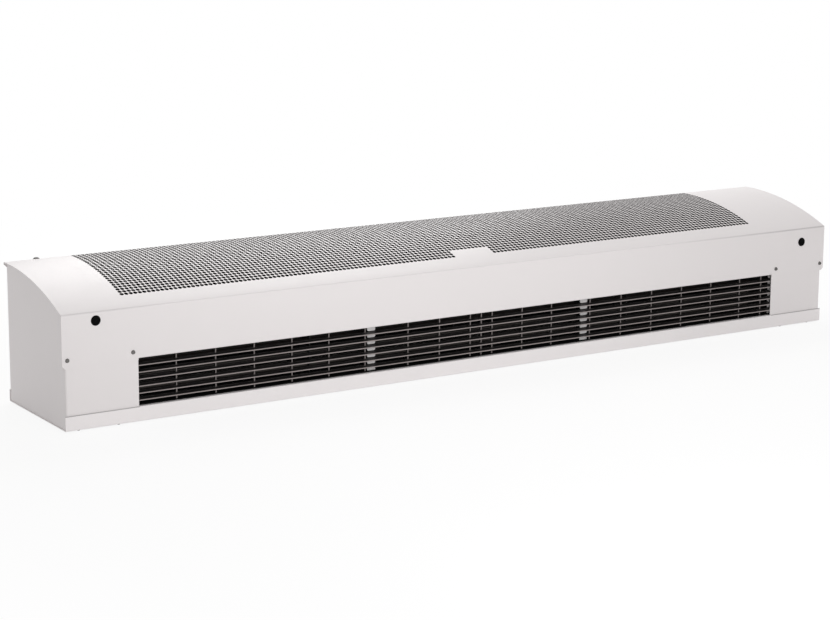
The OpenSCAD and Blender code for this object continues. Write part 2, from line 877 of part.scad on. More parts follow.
// Leg between the wheels, from the duct floor up to the middle bearing
module centre_bearing_bracket() {
    level = duct_floor + nest_gap;
    seat = bearing_seat_radius + bearing_wall;
    color("silver") difference() {
        union() {
            rod(seat, bearing_ring_length, -bearing_ring_length / 2, fan_depth, fan_height);
            along(bracket_plate, -bracket_plate / 2)
                polygon([[fan_depth - bearing_foot_width, level], [fan_depth, level],
                    [fan_depth + seat, fan_height], [fan_depth - seat, fan_height]]);
            translate([-bearing_ring_length / 2, fan_depth - bearing_foot_width, level])
                cube([bearing_ring_length, bearing_foot_depth, bracket_plate]);
        }
        rod(bearing_seat_radius, bearing_ring_length + 2 * overrun,
            -bearing_ring_length / 2 - overrun, fan_depth, fan_height);
    }
}

// Flanged housing of the end bearing, on the outer side of the left partition
module end_bearing_housing() {
    start = partition_face + sheet + nest_gap;
    color("lightgray") left() difference() {
        union() {
            rod(housing_flange_radius, housing_flange, start, fan_depth, fan_height);
            rod(bearing_seat_radius + bearing_wall, bearing_ring_length, start,
                fan_depth, fan_height);
        }
        rod(bearing_seat_radius, bearing_ring_length + 2 * overrun, start - overrun,
            fan_depth, fan_height);
        for (turn = [45:90:315]) rotate_about_fan(turn)
            rod(screw_hole, housing_flange + 2 * overrun, start - overrun,
                fan_depth + housing_screw_circle, fan_height);
    }
}

module bearing_housing_screws() {
    start = partition_face + sheet + nest_gap + housing_flange;
    color("lightsteelblue") left() for (turn = [45:90:315]) rotate_about_fan(turn)
        translate([start, fan_depth + housing_screw_circle, fan_height]) rotate([0, -90, 0])
            pan_screw(housing_flange + sheet + overrun);
}

// Hairpin heating element: two legs, a half-round bend and two terminal pins
module heater(level) {
    leg_start = -partition_face - heater_tail;
    color("dimgray") {
        for (leg = heater_legs) {
            rod(heater_radius, heater_end - leg_start, leg_start, leg, level);
            rod(heater_pin_radius, heater_pin_length + overrun, leg_start - heater_pin_length,
                leg, level);
        }
        translate([heater_end, heater_front_leg + heater_bend_radius, level])
            rotate([0, 0, -90]) rotate_extrude(angle = 180)
                translate([heater_bend_radius, 0]) circle(r = heater_radius);
    }
}

module heater_support() {
    level = duct_floor + nest_gap;
    color("silver") difference() {
        union() {
            translate([heater_support_distance, heater_support_front, level])
                cube([sheet, heater_support_depth, rib_top - level]);
            translate([heater_support_distance, heater_support_front, level])
                cube([heater_support_foot, heater_support_depth, sheet]);
        }
        for (leg = heater_legs, height = heater_heights)
            rod(heater_radius + nest_gap, sheet + 2 * overrun, heater_support_distance - overrun,
                leg, height);
    }
}

// Ceramic bushes that carry the heaters through the left partition
module heater_bushes() {
    color("ivory") left() for (leg = heater_legs, level = heater_heights) difference() {
        union() {
            rod(bush_radius, sheet + 2 * nest_gap + bush_reach, partition_face - bush_reach,
                leg, level);
            rod(bush_flange_radius, bush_flange, partition_face + sheet + nest_gap, leg, level);
        }
        rod(heater_radius + nest_gap, heater_tail, partition_face - bush_reach - overrun,
            leg, level);
    }
}

// Disc thermostat on the left partition
module thermal_cutout() {
    start = partition_face + sheet + nest_gap;
    color("black") left() {
        rod(cutout_radius, cutout_height, start, cutout_depth, cutout_level);
        translate([start, cutout_depth - cutout_flange_length / 2,
            cutout_level - cutout_flange_width / 2])
            cube([cutout_flange, cutout_flange_length, cutout_flange_width]);
    }
}

// Folded plate that carries the electrics in the left compartment
module terminal_plate() {
    color("silver") left() translate([plate_start, plate_setback, floor_top]) {
        cube([plate_length, plate_thickness, plate_height]);
        cube([plate_length, plate_foot, plate_thickness]);
    }
}

function plate_face() = plate_setback + plate_thickness + nest_gap;

// Terminal block: a row of poles, each with a screw well and a wire slot
module terminal_block() {
    pole = block_size[0] / block_poles;
    base = floor_top + block_level;
    color("ivory") left() translate([plate_start + (plate_length - block_size[0]) / 2,
        plate_face(), base]) difference() {
        cube(block_size);
        for (i = [0:block_poles - 1]) {
            translate([(i + 1 / 2) * pole, block_size[1] + overrun, block_size[2] / 2])
                rotate([90, 0, 0]) cylinder(r = block_well_radius, h = block_well_depth);
            translate([i * pole - block_slot / 2, block_size[1] - block_slot, -overrun])
                cube([block_slot, block_slot + overrun, block_size[2] + 2 * overrun]);
        }
    }
}

// Contactor: stepped body as such switches have
module contactor() {
    base = floor_top + block_level + block_size[2] + contactor_gap;
    step = contactor_size[1] - contactor_step;
    color("dimgray") left() translate([plate_start + (plate_length - contactor_size[0]) / 2,
        plate_face(), base]) {
        cube([contactor_size[0], step, contactor_size[2]]);
        translate([0, 0, contactor_step])
            cube([contactor_size[0], contactor_size[1], contactor_size[2] - 2 * contactor_step]);
    }
}

module run_capacitor() {
    color("whitesmoke") rod(capacitor_radius, capacitor_length, capacitor_start,
        capacitor_depth, capacitor_level);
}

// Strap round the capacitor, with a foot on the tray
module capacitor_clip() {
    start = capacitor_start + (capacitor_length - clip_width) / 2;
    outer = capacitor_radius + nest_gap + clip_wall;
    color("silver") difference() {
        union() {
            rod(outer, clip_width, start, capacitor_depth, capacitor_level);
            translate([start, capacitor_depth, floor_top])
                cube([clip_width, clip_wall, capacitor_level - floor_top]);
            translate([start, capacitor_depth, floor_top])
                cube([clip_width, outer, clip_wall]);
        }
        rod(capacitor_radius + nest_gap, clip_width + 2 * overrun, start - overrun,
            capacitor_depth, capacitor_level);
    }
}

// Rubber grommet with a groove that grips the back panel
module cable_grommet() {
    groove = sheet + 2 * nest_gap;
    color("black") translate([grommet_place[0], back_outer + nest_gap + grommet_flange,
        grommet_place[1]]) rotate([90, 0, 0]) rotate_extrude() difference() {
        translate([cable_radius, 0])
            square([grommet_flange_radius - cable_radius, 2 * grommet_flange + groove]);
        translate([grommet_radius - grommet_flange - nest_gap, grommet_flange])
            square([grommet_flange_radius, groove]);
    }
}

// Hex bolt that earths the cover to the back panel
module earth_bolt() {
    color("lightsteelblue") translate([earth_place[0], casing_depth + nest_gap, earth_place[1]])
        rotate([-90, 30, 0]) {
            cylinder(r = washer_radius, h = washer_thickness);
            translate([0, 0, washer_thickness])
                cylinder(r = hex_radius, h = earth_head, $fn = 6);
            translate([0, 0, -earth_length]) cylinder(r = earth_radius, h = earth_length);
        }
}

// Cap with a hollow stem that clips into a hole of the cover
module hole_plug(place, level) {
    stem = plug_hole_radius - nest_gap;
    color("black") translate([place, -nest_gap, level]) rotate([-90, 0, 0]) {
        translate([0, 0, -plug_head_height])
            cylinder(r1 = plug_head_radius - plug_head_height / 2, r2 = plug_head_radius,
                h = plug_head_height);
        difference() {
            cylinder(r = stem, h = plug_depth);
            translate([0, 0, nest_gap]) cylinder(r = stem - plug_wall, h = plug_depth);
        }
    }
}

function bracket_screw_levels() = [bracket_foot + bracket_screw_inset,
    bracket_foot + bracket_height - bracket_screw_inset];
function bracket_screw_places() = [for (way = [-1, 1])
    bracket_distance + way * (bracket_web + bracket_foot_width) / 2];

// Hat-section bracket between the back panel and the wall
module wall_bracket() {
    half = bracket_web / 2;
    outer = half + bracket_foot_width;
    depth = wall_plane - back_outer;
    color("silver") difference() {
        translate([bracket_distance, back_outer, bracket_foot]) linear_extrude(bracket_height)
            polygon([[-outer, 0], [-half + bracket_sheet, 0],
                [-half + bracket_sheet, depth - bracket_sheet],
                [half - bracket_sheet, depth - bracket_sheet],
                [half - bracket_sheet, 0], [outer, 0], [outer, bracket_sheet],
                [half, bracket_sheet], [half, depth], [-half, depth],
                [-half, bracket_sheet], [-outer, bracket_sheet]]);
        for (level = bolt_levels)
            sheet_hole(bolt_hole_radius, bracket_distance, level, wall_plane - inner_inset);
        for (level = bracket_screw_levels(), place = bracket_screw_places())
            sheet_hole(screw_hole, place, level, back_inner);
    }
}

module wall_bracket_screws() {
    color("lightsteelblue") both_ends()
        for (level = bracket_screw_levels(), place = bracket_screw_places())
            translate([place, back_outer + bracket_sheet, level]) rotate([90, 0, 0])
                pan_screw(screw_length);
}

module cover_screws() {
    color("lightsteelblue") both_ends() for (place = cover_screw_places)
        translate([place, 0, cover_screw_height]) rotate([-90, 0, 0]) pan_screw(screw_length);
}

module base_screws() {
    color("lightsteelblue") both_ends() for (gap = base_screw_gaps, depth = base_screw_rows())
        translate([side_face - gap, depth, 0]) pan_screw(screw_length);
}

placed() front_cover();
placed() left() side_panel();  // left_side_panel
placed() side_panel();  // right_side_panel
placed() base_panel();
placed() back_panel();
placed() left_partition();
placed() right_partition();
placed() scroll_panel();
placed() tongue_panel();
placed() left() outer_grille(outer_ribs);  // left_outlet_grille
placed() centre_grille();  // centre_outlet_grille
placed() outer_grille(concat(outer_ribs, [last_rib]));  // right_outlet_grille
placed() left() grille_comb(comb_distance - comb_width / 2, comb_width);  // left_grille_comb
placed() grille_comb(comb_distance - comb_width / 2, comb_width);  // right_grille_comb
placed() left() grille_comb(end_comb_start, end_comb_width);  // left_end_comb
placed() grille_comb(end_comb_start, end_comb_width);  // right_end_comb
placed() left() fan_wheel();  // left_fan_wheel
placed() fan_wheel();  // right_fan_wheel
placed() centre_shaft();
placed() left_end_shaft();
placed() motor_shaft();
placed() motor_rotor();
placed() motor_body();
placed() motor_cap(motor_body_start, -1);  // motor_front_cap
placed() motor_cap(motor_body_end, 1);  // motor_rear_cap
placed() motor_plate();
placed() motor_rubber_mounts();
placed() motor_screws();
placed() bearing(-bearing_length / 2);  // centre_bearing
placed() bearing_ring(-bearing_ring_length / 2);  // centre_bearing_ring
placed() centre_bearing_bracket();
placed() left() bearing(partition_face + sheet + nest_gap);  // end_bearing
placed() left() bearing_ring(partition_face + sheet + nest_gap);  // end_bearing_ring
placed() end_bearing_housing();
placed() bearing_housing_screws();
placed() heater(heater_heights[2]);  // upper_heater
placed() heater(heater_heights[1]);  // middle_heater
placed() heater(heater_heights[0]);  // lower_heater
placed() left() heater_support();  // left_heater_support
placed() heater_support();  // right_heater_support
placed() heater_bushes();
placed() thermal_cutout();
placed() terminal_plate();
placed() terminal_block();
placed() contactor();
placed() run_capacitor();
placed() capacitor_clip();
placed() cable_grommet();
placed() earth_bolt();
placed() hole_plug(-plug_distance, left_plug_height);  // left_hole_plug
placed() hole_plug(plug_distance, right_plug_height);  // right_hole_plug
placed() left() wall_bracket();  // left_wall_bracket
placed() wall_bracket();  // right_wall_bracket
placed() cover_screws();
placed() base_screws();
placed() wall_bracket_screws();
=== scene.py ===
import json
import math

import bpy
import numpy as np
from mathutils import Euler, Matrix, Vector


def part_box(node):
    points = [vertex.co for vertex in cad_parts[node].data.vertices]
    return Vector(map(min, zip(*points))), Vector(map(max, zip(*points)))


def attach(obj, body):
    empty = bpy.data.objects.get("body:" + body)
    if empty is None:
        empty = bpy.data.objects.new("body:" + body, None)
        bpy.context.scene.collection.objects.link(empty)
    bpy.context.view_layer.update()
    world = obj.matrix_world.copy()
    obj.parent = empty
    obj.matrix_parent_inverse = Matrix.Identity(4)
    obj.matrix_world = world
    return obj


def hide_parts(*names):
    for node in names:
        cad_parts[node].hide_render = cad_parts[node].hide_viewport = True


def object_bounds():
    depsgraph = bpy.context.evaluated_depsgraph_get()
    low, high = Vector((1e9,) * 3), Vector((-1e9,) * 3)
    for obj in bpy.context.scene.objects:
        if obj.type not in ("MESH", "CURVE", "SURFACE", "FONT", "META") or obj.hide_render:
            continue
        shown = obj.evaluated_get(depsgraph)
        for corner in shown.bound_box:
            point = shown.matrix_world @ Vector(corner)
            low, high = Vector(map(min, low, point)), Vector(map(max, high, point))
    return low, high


bl_info = {
    "name": "Air curtain",
    "version": (1, 0, 0),
    "blender": (4, 5, 0),
    "location": "3D View > Sidebar > Air curtain",
    "description": "Punched cover, grille combs, finishes and stage of an air curtain",
    "category": "Object",
}

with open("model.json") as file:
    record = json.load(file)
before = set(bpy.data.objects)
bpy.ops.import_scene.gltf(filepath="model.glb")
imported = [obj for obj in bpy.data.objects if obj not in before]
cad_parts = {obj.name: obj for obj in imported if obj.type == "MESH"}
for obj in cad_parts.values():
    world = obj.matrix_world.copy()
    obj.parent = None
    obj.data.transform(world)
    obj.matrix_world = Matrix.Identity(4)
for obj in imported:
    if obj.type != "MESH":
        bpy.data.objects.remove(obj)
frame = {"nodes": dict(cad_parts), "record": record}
CAD_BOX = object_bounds()
COVER_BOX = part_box("front_cover")
BASE_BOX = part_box("base_panel")

MM = 0.001
# Casing coordinates: depth is measured from the cover's front face, height from under the base
FRONT_Y = COVER_BOX[0][1]
BASE_Z = BASE_BOX[0][2]
HALF_LENGTH = COVER_BOX[1][0]
CASING_DEPTH = COVER_BOX[1][1] - COVER_BOX[0][1]
CASING_HEIGHT = COVER_BOX[1][2] - BASE_Z
BACK_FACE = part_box("back_panel")[1][1]
OUTLET_HALF = 673 * MM
# The seam that the cover leaves over the rail beside the outlet: its top, and the width of the
# band of painted shade under it
SEAM_TOP = 24.5 * MM
SEAM_SHADE_WIDTH = 1.1 * MM
# The painted shade in a greyer line along the fold under the curved top: the height of its
# middle, its width and its share from the left end of the casing, at 0, to the right end, at 1
FOLD_SHADE_HEIGHT = 187.6 * MM
FOLD_SHADE_WIDTH = 4 * MM
FOLD_SHADE_SHARE = [(0.0, 0.45), (0.06, 0.45), (0.12, 0.0), (0.75, 0.0), (0.95, 1.0)]
# Depths behind the cover's face: how far the blades' noses, which get a painted highlight,
# reach, where the ribs' fronts with their fainter painted highlight lie, and how far back
# the outlet's galvanised parts stay bare before painted shade turns them matt black
NOSE_HIGHLIGHT_DEPTH = 3.5 * MM
RIB_FRONT = (10.9 * MM, 11.3 * MM)
BARE_DEPTH = 28 * MM
# Thickness of the back panel's outer skin, which stays bare too; inside it the panel is painted
# matt black as painted shade
BACK_SKIN = 0.5 * MM
# Heights of the grain in the finishes
FINE_GRAIN = 0.02 * MM
GRAIN = 0.03 * MM
# Distance over the top from the fold to the curve's first point, and the number of its
# points in front of the punched field
TOP_START = 12 * MM
TOP_LEAD = 3
# Sides of a punched hole, and the turn between two faces that makes their edge a sharp one
HOLE_SIDES = 12
SHARP_EDGE = math.radians(35)
# Gap or overlap that keeps the skins of touching parts from sharing an edge
HAIR = 0.02 * MM
# Radius of the corners of a comb's lowest tab, which is cut nearly square
SQUARE_CORNER = 0.1 * MM


# Settings

class CoverSettings(bpy.types.PropertyGroup):
    """Sizes of the cover and of its punched field."""
    sheet: bpy.props.FloatProperty(
        name="Sheet", description="Thickness of the painted sheet",
        default=0.0012, unit="LENGTH")
    top_radius: bpy.props.FloatProperty(
        name="Top radius", description="Radius of the curved top",
        default=0.535, unit="LENGTH")
    fold_height: bpy.props.FloatProperty(
        name="Fold height", description="Height of the fold above the underside of the base",
        default=0.188, unit="LENGTH")
    fold_radius: bpy.props.FloatProperty(
        name="Fold radius", description="Outer radius of the fold between front and top",
        default=0.0034, unit="LENGTH")
    lower_edge: bpy.props.FloatProperty(
        name="Lower edge", description="Height of the cover's edge beside the outlet",
        default=0.101, unit="LENGTH")
    corner_clip: bpy.props.FloatProperty(
        name="Corner clip", description="Size of the clipped corners at both ends",
        default=0.005, unit="LENGTH")
    outlet_half: bpy.props.FloatProperty(
        name="Half outlet", description="Half the length of the outlet opening",
        default=OUTLET_HALF, unit="LENGTH")
    outlet_top: bpy.props.FloatProperty(
        name="Outlet top", description="Height of the hemmed edge over the outlet",
        default=0.104, unit="LENGTH")
    hem_depth: bpy.props.FloatProperty(
        name="Hem depth", description="Depth of the hem over the outlet",
        default=0.008, unit="LENGTH")
    hem_radius: bpy.props.FloatProperty(
        name="Hem radius", description="Outer radius of the hem's fold",
        default=0.002, unit="LENGTH")
    back_radius: bpy.props.FloatProperty(
        name="Back radius", description="Outer radius of the fold at the back edge",
        default=0.0018, unit="LENGTH")
    back_flange: bpy.props.FloatProperty(
        name="Back flange", description="Height of the flange down the back",
        default=0.009, unit="LENGTH")
    pitch: bpy.props.FloatProperty(
        name="Pitch", description="Spacing of the punched holes both ways",
        default=0.008, unit="LENGTH")
    hole: bpy.props.FloatProperty(
        name="Hole", description="Diameter of a punched hole",
        default=0.0072, unit="LENGTH")
    columns: bpy.props.IntProperty(
        name="Columns", description="Columns of holes along the cover", default=166)
    rows: bpy.props.IntProperty(
        name="Rows", description="Rows of holes over the top", default=25)
    field_start: bpy.props.FloatProperty(
        name="Field start", description="Place of the field's left edge",
        default=-0.6873, unit="LENGTH")
    field_arc: bpy.props.FloatProperty(
        name="Field arc", description="Distance of the field from the fold, over the top",
        default=0.036, unit="LENGTH")
    patch_column: bpy.props.IntProperty(
        name="Patch column", description="First column that the closed patch covers", default=81)
    patch_columns: bpy.props.IntProperty(
        name="Patch columns", description="Columns that the closed patch covers", default=10)
    patch_rows: bpy.props.IntProperty(
        name="Patch rows", description="Rows that the closed patch covers", default=3)


class CombSettings(bpy.types.PropertyGroup):
    """Sizes of the notched angles that steady the outlet's blades."""
    sheet: bpy.props.FloatProperty(
        name="Sheet", description="Thickness of the angle's sheet",
        default=0.0012, unit="LENGTH")
    corner: bpy.props.FloatProperty(
        name="Corner", description="Radius of the lower corners of a tab",
        default=0.0026, unit="LENGTH")
    blades: bpy.props.IntProperty(
        name="Blades", description="Number of blades across the outlet", default=6)
    lowest_blade: bpy.props.FloatProperty(
        name="Lowest blade", description="Height of the front edge of the lowest blade",
        default=0.033, unit="LENGTH")
    blade_pitch: bpy.props.FloatProperty(
        name="Blade pitch", description="Spacing of the blades",
        default=0.0115, unit="LENGTH")
    notch_low: bpy.props.FloatProperty(
        name="Notch low", description="Height of a notch's lower edge over its blade's front",
        default=0.0017, unit="LENGTH")
    notch_high: bpy.props.FloatProperty(
        name="Notch high", description="Height of a notch's upper edge over its blade's front",
        default=0.0048, unit="LENGTH")
    notch_depth: bpy.props.FloatProperty(
        name="Notch depth", description="Depth of a notch behind the angle's front",
        default=0.0029, unit="LENGTH")


class FinishSettings(bpy.types.PropertyGroup):
    """Colours of the visible finishes."""
    paint: bpy.props.FloatVectorProperty(
        name="Paint", description="Colour of the casing's powder coat", subtype="COLOR",
        size=3, default=(0.80, 0.768, 0.765))
    # The rail's colour is the casing's powder coat made lighter: painted light that brightens the
    # base near the floor
    rail: bpy.props.FloatVectorProperty(
        name="Rail", description="Colour of the powder coat on the base", subtype="COLOR",
        size=3, default=(0.87, 0.84, 0.838))
    # The blades' colour is a painted highlight on their front edges; the shade colour is their
    # own black
    blades: bpy.props.FloatVectorProperty(
        name="Blades", description="Colour of the outlet blades' front edges",
        subtype="COLOR", size=3, default=(0.31, 0.272, 0.263))
    shade: bpy.props.FloatVectorProperty(
        name="Shade", description="Colour of the outlet blades behind their front edges",
        subtype="COLOR", size=3, default=(0.012, 0.011, 0.011))
    zinc: bpy.props.FloatVectorProperty(
        name="Zinc", description="Colour of the galvanised sheet", subtype="COLOR",
        size=3, default=(0.60, 0.588, 0.583))


class StageSettings(bpy.types.PropertyGroup):
    """Camera, lamps and floor."""
    camera_place: bpy.props.FloatVectorProperty(
        name="Camera", description="Place of the camera", subtype="TRANSLATION",
        unit="LENGTH", size=3, default=(-2.07135, -3.0905, 0.87819))
    camera_turn: bpy.props.FloatVectorProperty(
        name="Camera turn", description="Turn of the camera", subtype="EULER", size=3,
        default=(math.radians(79.2134), math.radians(-0.0687), math.radians(-31.5295)))
    lens: bpy.props.FloatProperty(
        name="Lens", description="Focal length in millimetres on a 36 mm sensor", default=90.827)
    shift_x: bpy.props.FloatProperty(
        name="Shift X", description="Sideways shift, for the photograph's framing",
        default=0.0606)
    shift_y: bpy.props.FloatProperty(
        name="Shift Y", description="Upward shift, for the photograph's framing",
        default=-0.0528)
    sky: bpy.props.FloatProperty(
        name="Sky", description="Strength of the even light from all round", default=0.57)
    key: bpy.props.FloatProperty(
        name="Key lamp", description="Power of the large lamp in front", unit="POWER",
        default=7.2)
    top: bpy.props.FloatProperty(
        name="Top lamp", description="Power of the large lamp behind and above", unit="POWER",
        default=26)
    shadow: bpy.props.FloatProperty(
        name="Shadow", description="How much of the object's shadow the floor shows",
        default=0.12, min=0.0, max=1.0)


# Shader nodes

class Socket:
    """A wrapped output socket: arithmetic on it adds Math nodes."""

    def __init__(self, nodes, socket):
        self.nodes, self.socket = nodes, socket

    def _math(self, operation, first, second):
        return self.nodes.add("ShaderNodeMath", {"operation": operation}, {0: first, 1: second})

    def __add__(self, other):
        return self._math("ADD", self, other)

    def __radd__(self, other):
        return self._math("ADD", other, self)

    def __sub__(self, other):
        return self._math("SUBTRACT", self, other)

    def __rsub__(self, other):
        return self._math("SUBTRACT", other, self)

    def __mul__(self, other):
        return self._math("MULTIPLY", self, other)

    def __rmul__(self, other):
        return self._math("MULTIPLY", other, self)

    def above(self, limit):
        return self._math("GREATER_THAN", self, limit)


class Nodes:
    """The node tree of one material or world."""

    def __init__(self, owner):
        owner.use_nodes = True
        self.tree = owner.node_tree
        self.tree.nodes.clear()

    def add(self, kind, settings=None, values=None, output=0):
        """Adds a node: its settings first, then the values or links of its sockets."""
        node = self.tree.nodes.new(kind)
        for key, value in (settings or {}).items():
            if key == "stops":
                self._stops(node.color_ramp, value)
            else:
                setattr(node, key, value)
        for key, value in (values or {}).items():
            if isinstance(value, Socket):
                self.tree.links.new(value.socket, node.inputs[key])
            else:
                node.inputs[key].default_value = value
        return Socket(self, node.outputs[output]) if len(node.outputs) else node

    @staticmethod
    def _stops(ramp, stops):
        while len(ramp.elements) > 1:
            ramp.elements.remove(ramp.elements[-1])
        for i, (place, grey) in enumerate(stops):
            element = ramp.elements[0] if i == 0 else ramp.elements.new(place)
            element.position, element.color = place, (grey, grey, grey, 1)

    def place(self):
        return self.add("ShaderNodeTexCoord", output=3)

    def along(self, axis):
        """Place along X, Y or Z, counted 0, 1 and 2."""
        return self.add("ShaderNodeSeparateXYZ", None, {0: self.place()}, output=axis)

    def noise(self, scale, detail=2.0, roughness=0.5):
        return self.add("ShaderNodeTexNoise", None,
                        {"Vector": self.place(), "Scale": scale, "Detail": detail,
                         "Roughness": roughness})

    def ramp(self, factor, stops):
        return self.add("ShaderNodeValToRGB", {"stops": stops}, {0: factor})

    def mix(self, factor, first, second):
        return self.add("ShaderNodeMix", {"data_type": "RGBA"},
                        {0: factor, 6: first, 7: second}, output=2)

    def bump(self, height, distance, strength=1.0):
        return self.add("ShaderNodeBump", None,
                        {"Height": height, "Distance": distance, "Strength": strength})


def rgba(colour, share=1.0):
    return tuple(channel * share for channel in colour) + (1.0,)


def surface(name, fill):
    """Makes a material whose principled shader gets the values that fill returns."""
    nodes = Nodes(bpy.data.materials.new(name))
    shader = nodes.add("ShaderNodeBsdfPrincipled", None, fill(nodes))
    nodes.add("ShaderNodeOutputMaterial", None, {"Surface": shader})


def paint(nodes, colour):
    """Powder coat: fine orange peel, slow changes of tone and faint handling marks."""
    tone = nodes.noise(3.5, 3)
    marks = nodes.ramp(nodes.noise(26, 5, 0.62), [(0.52, 0.0), (0.78, 1.0)])
    grain = nodes.noise(900, 3, 0.6)
    return {
        "Base Color": nodes.mix(tone, rgba(colour, 0.985), rgba(colour, 1.012)),
        "Roughness": 0.4 + 0.06 * marks + 0.04 * grain,
        "Normal": nodes.bump(grain, FINE_GRAIN, 0.6),
        "Specular IOR Level": 0.45,
    }


def rail(nodes, colour):
    """The base's powder coat, with painted shade that greys the narrow seam over its front rail
    beside the outlet: x^2 is above the square of half the outlet there."""
    across = nodes.along(0)
    beside = (across * across).above(OUTLET_HALF ** 2)
    # Painted shade: the rail's top edge beside the outlet gets half the colour
    seam = beside * (nodes.along(2) - BASE_Z).above(SEAM_TOP - SEAM_SHADE_WIDTH)
    values = paint(nodes, colour)
    values["Base Color"] = nodes.mix(seam, values["Base Color"], rgba(colour, 0.5))
    return values


def cover_paint(nodes, colour):
    """The casing's powder coat, with painted shade in a thin greyer line along the fold under
    the top, most at the right end and not at all in the middle."""
    height = nodes.along(2) - (BASE_Z + FOLD_SHADE_HEIGHT - FOLD_SHADE_WIDTH / 2)
    line = nodes.ramp(height * (1 / FOLD_SHADE_WIDTH), [(0.0, 0.0), (0.5, 1.0), (1.0, 0.0)])
    front = 1 - nodes.along(1).above(FRONT_Y + FOLD_SHADE_WIDTH)
    share = nodes.ramp(0.5 + nodes.along(0) * (0.5 / HALF_LENGTH), FOLD_SHADE_SHARE)
    values = paint(nodes, colour)
    # Painted shade along the fold: in the line the colour drops towards 0.7 of itself
    values["Base Color"] = nodes.mix(line * front * share, values["Base Color"],
                                     rgba(colour, 0.7))
    return values


def zinc(nodes, colour):
    """Galvanised sheet: crystals a centimetre across, each with its own tone and gloss.
    What lies behind the outlet's parts and in front of the back panel's outer face is
    painted matt black, as painted shade for the dark inside of the casing."""
    depth = nodes.along(1)
    front = 1 - depth.above(FRONT_Y + BARE_DEPTH)
    rear = depth.above(BACK_FACE - BACK_SKIN)
    bare = front + rear
    cells = nodes.add("ShaderNodeTexVoronoi", {"feature": "F1"},
                      {"Vector": nodes.place(), "Scale": 95.0, "Randomness": 1.0}, output=1)
    tone = nodes.add("ShaderNodeSeparateColor", None, {0: cells})
    fine = nodes.noise(420, 4)
    sheet = nodes.mix(0.65 * tone + 0.35 * fine, rgba(colour, 0.82), rgba(colour, 1.1))
    return {
        # Painted shade: matt black wherever the sheet is not bare
        "Base Color": nodes.mix(bare, rgba((0.012, 0.012, 0.012)), sheet),
        "Metallic": 0.9 * rear + 0.25 * front,
        "Roughness": 0.6 + bare * (0.16 * tone + 0.06 * fine - 0.24),
        "Normal": nodes.bump(fine, GRAIN),
    }


def metal(nodes, colour, roughness, scale, spread):
    """Bare metal: its tone and gloss change with a noise of the given scale."""
    grain = nodes.noise(scale, 5, 0.6)
    return {
        "Base Color": nodes.mix(grain, rgba(colour, 1 - spread), rgba(colour, 1 + spread)),
        "Metallic": 1.0,
        "Roughness": roughness - 0.06 + 0.12 * grain,
        "Normal": nodes.bump(grain, FINE_GRAIN),
    }


def moulded(nodes, colour, roughness, scale):
    """Plastic, rubber, ceramic or dull paint with a fine even grain."""
    grain = nodes.noise(scale, 4, 0.6)
    dust = nodes.ramp(nodes.noise(60, 4, 0.6), [(0.5, 0.0), (0.8, 1.0)])
    return {
        "Base Color": nodes.mix(dust, rgba(colour), rgba(colour, 1.25)),
        "Roughness": roughness - 0.05 + 0.1 * grain + 0.05 * dust,
        "Normal": nodes.bump(grain, GRAIN),
    }


def coating(nodes, colour):
    """Dull black, of the inside as painted shade and of the plugs as their own colour: a fine
    grain and hardly any gloss.
    """
    return {**moulded(nodes, colour, 0.8, 500), "Specular IOR Level": 0.04}


def blades(nodes, colour, shade):
    """Black blades and ribs, with a painted highlight on their front edges: the blades' noses
    and, less light, the ribs' fronts, both found by their depth."""
    depth = nodes.along(1) - FRONT_Y
    nose = 1 - depth.above(NOSE_HIGHLIGHT_DEPTH)
    rib = depth.above(RIB_FRONT[0]) - depth.above(RIB_FRONT[1])
    grain = nodes.noise(700, 4, 0.6)
    dust = nodes.noise(45, 4, 0.6)
    # Painted highlight on the noses and the ribs' fronts, a little uneven with the dust noise
    edge = (nose + 0.7 * rib) * (0.82 + 0.18 * dust)
    return {
        "Base Color": nodes.mix(edge, rgba(shade), rgba(colour)),
        "Roughness": 0.4 + 0.1 * grain,
        "Normal": nodes.bump(grain, GRAIN),
    }


def heated(nodes, colour):
    """Oxidised heater tube: straw and brown bands along it, both darkened nearly to black as
    painted shade inside the casing.
    """
    bands = nodes.noise(14, 3)
    grain = nodes.noise(700, 3)
    return {
        "Base Color": nodes.mix(bands, rgba(colour, 0.7), rgba((0.06, 0.05, 0.042))),
        "Metallic": 0.4,
        "Roughness": 0.4 + 0.15 * bands + 0.05 * grain,
        "Normal": nodes.bump(grain, GRAIN),
    }


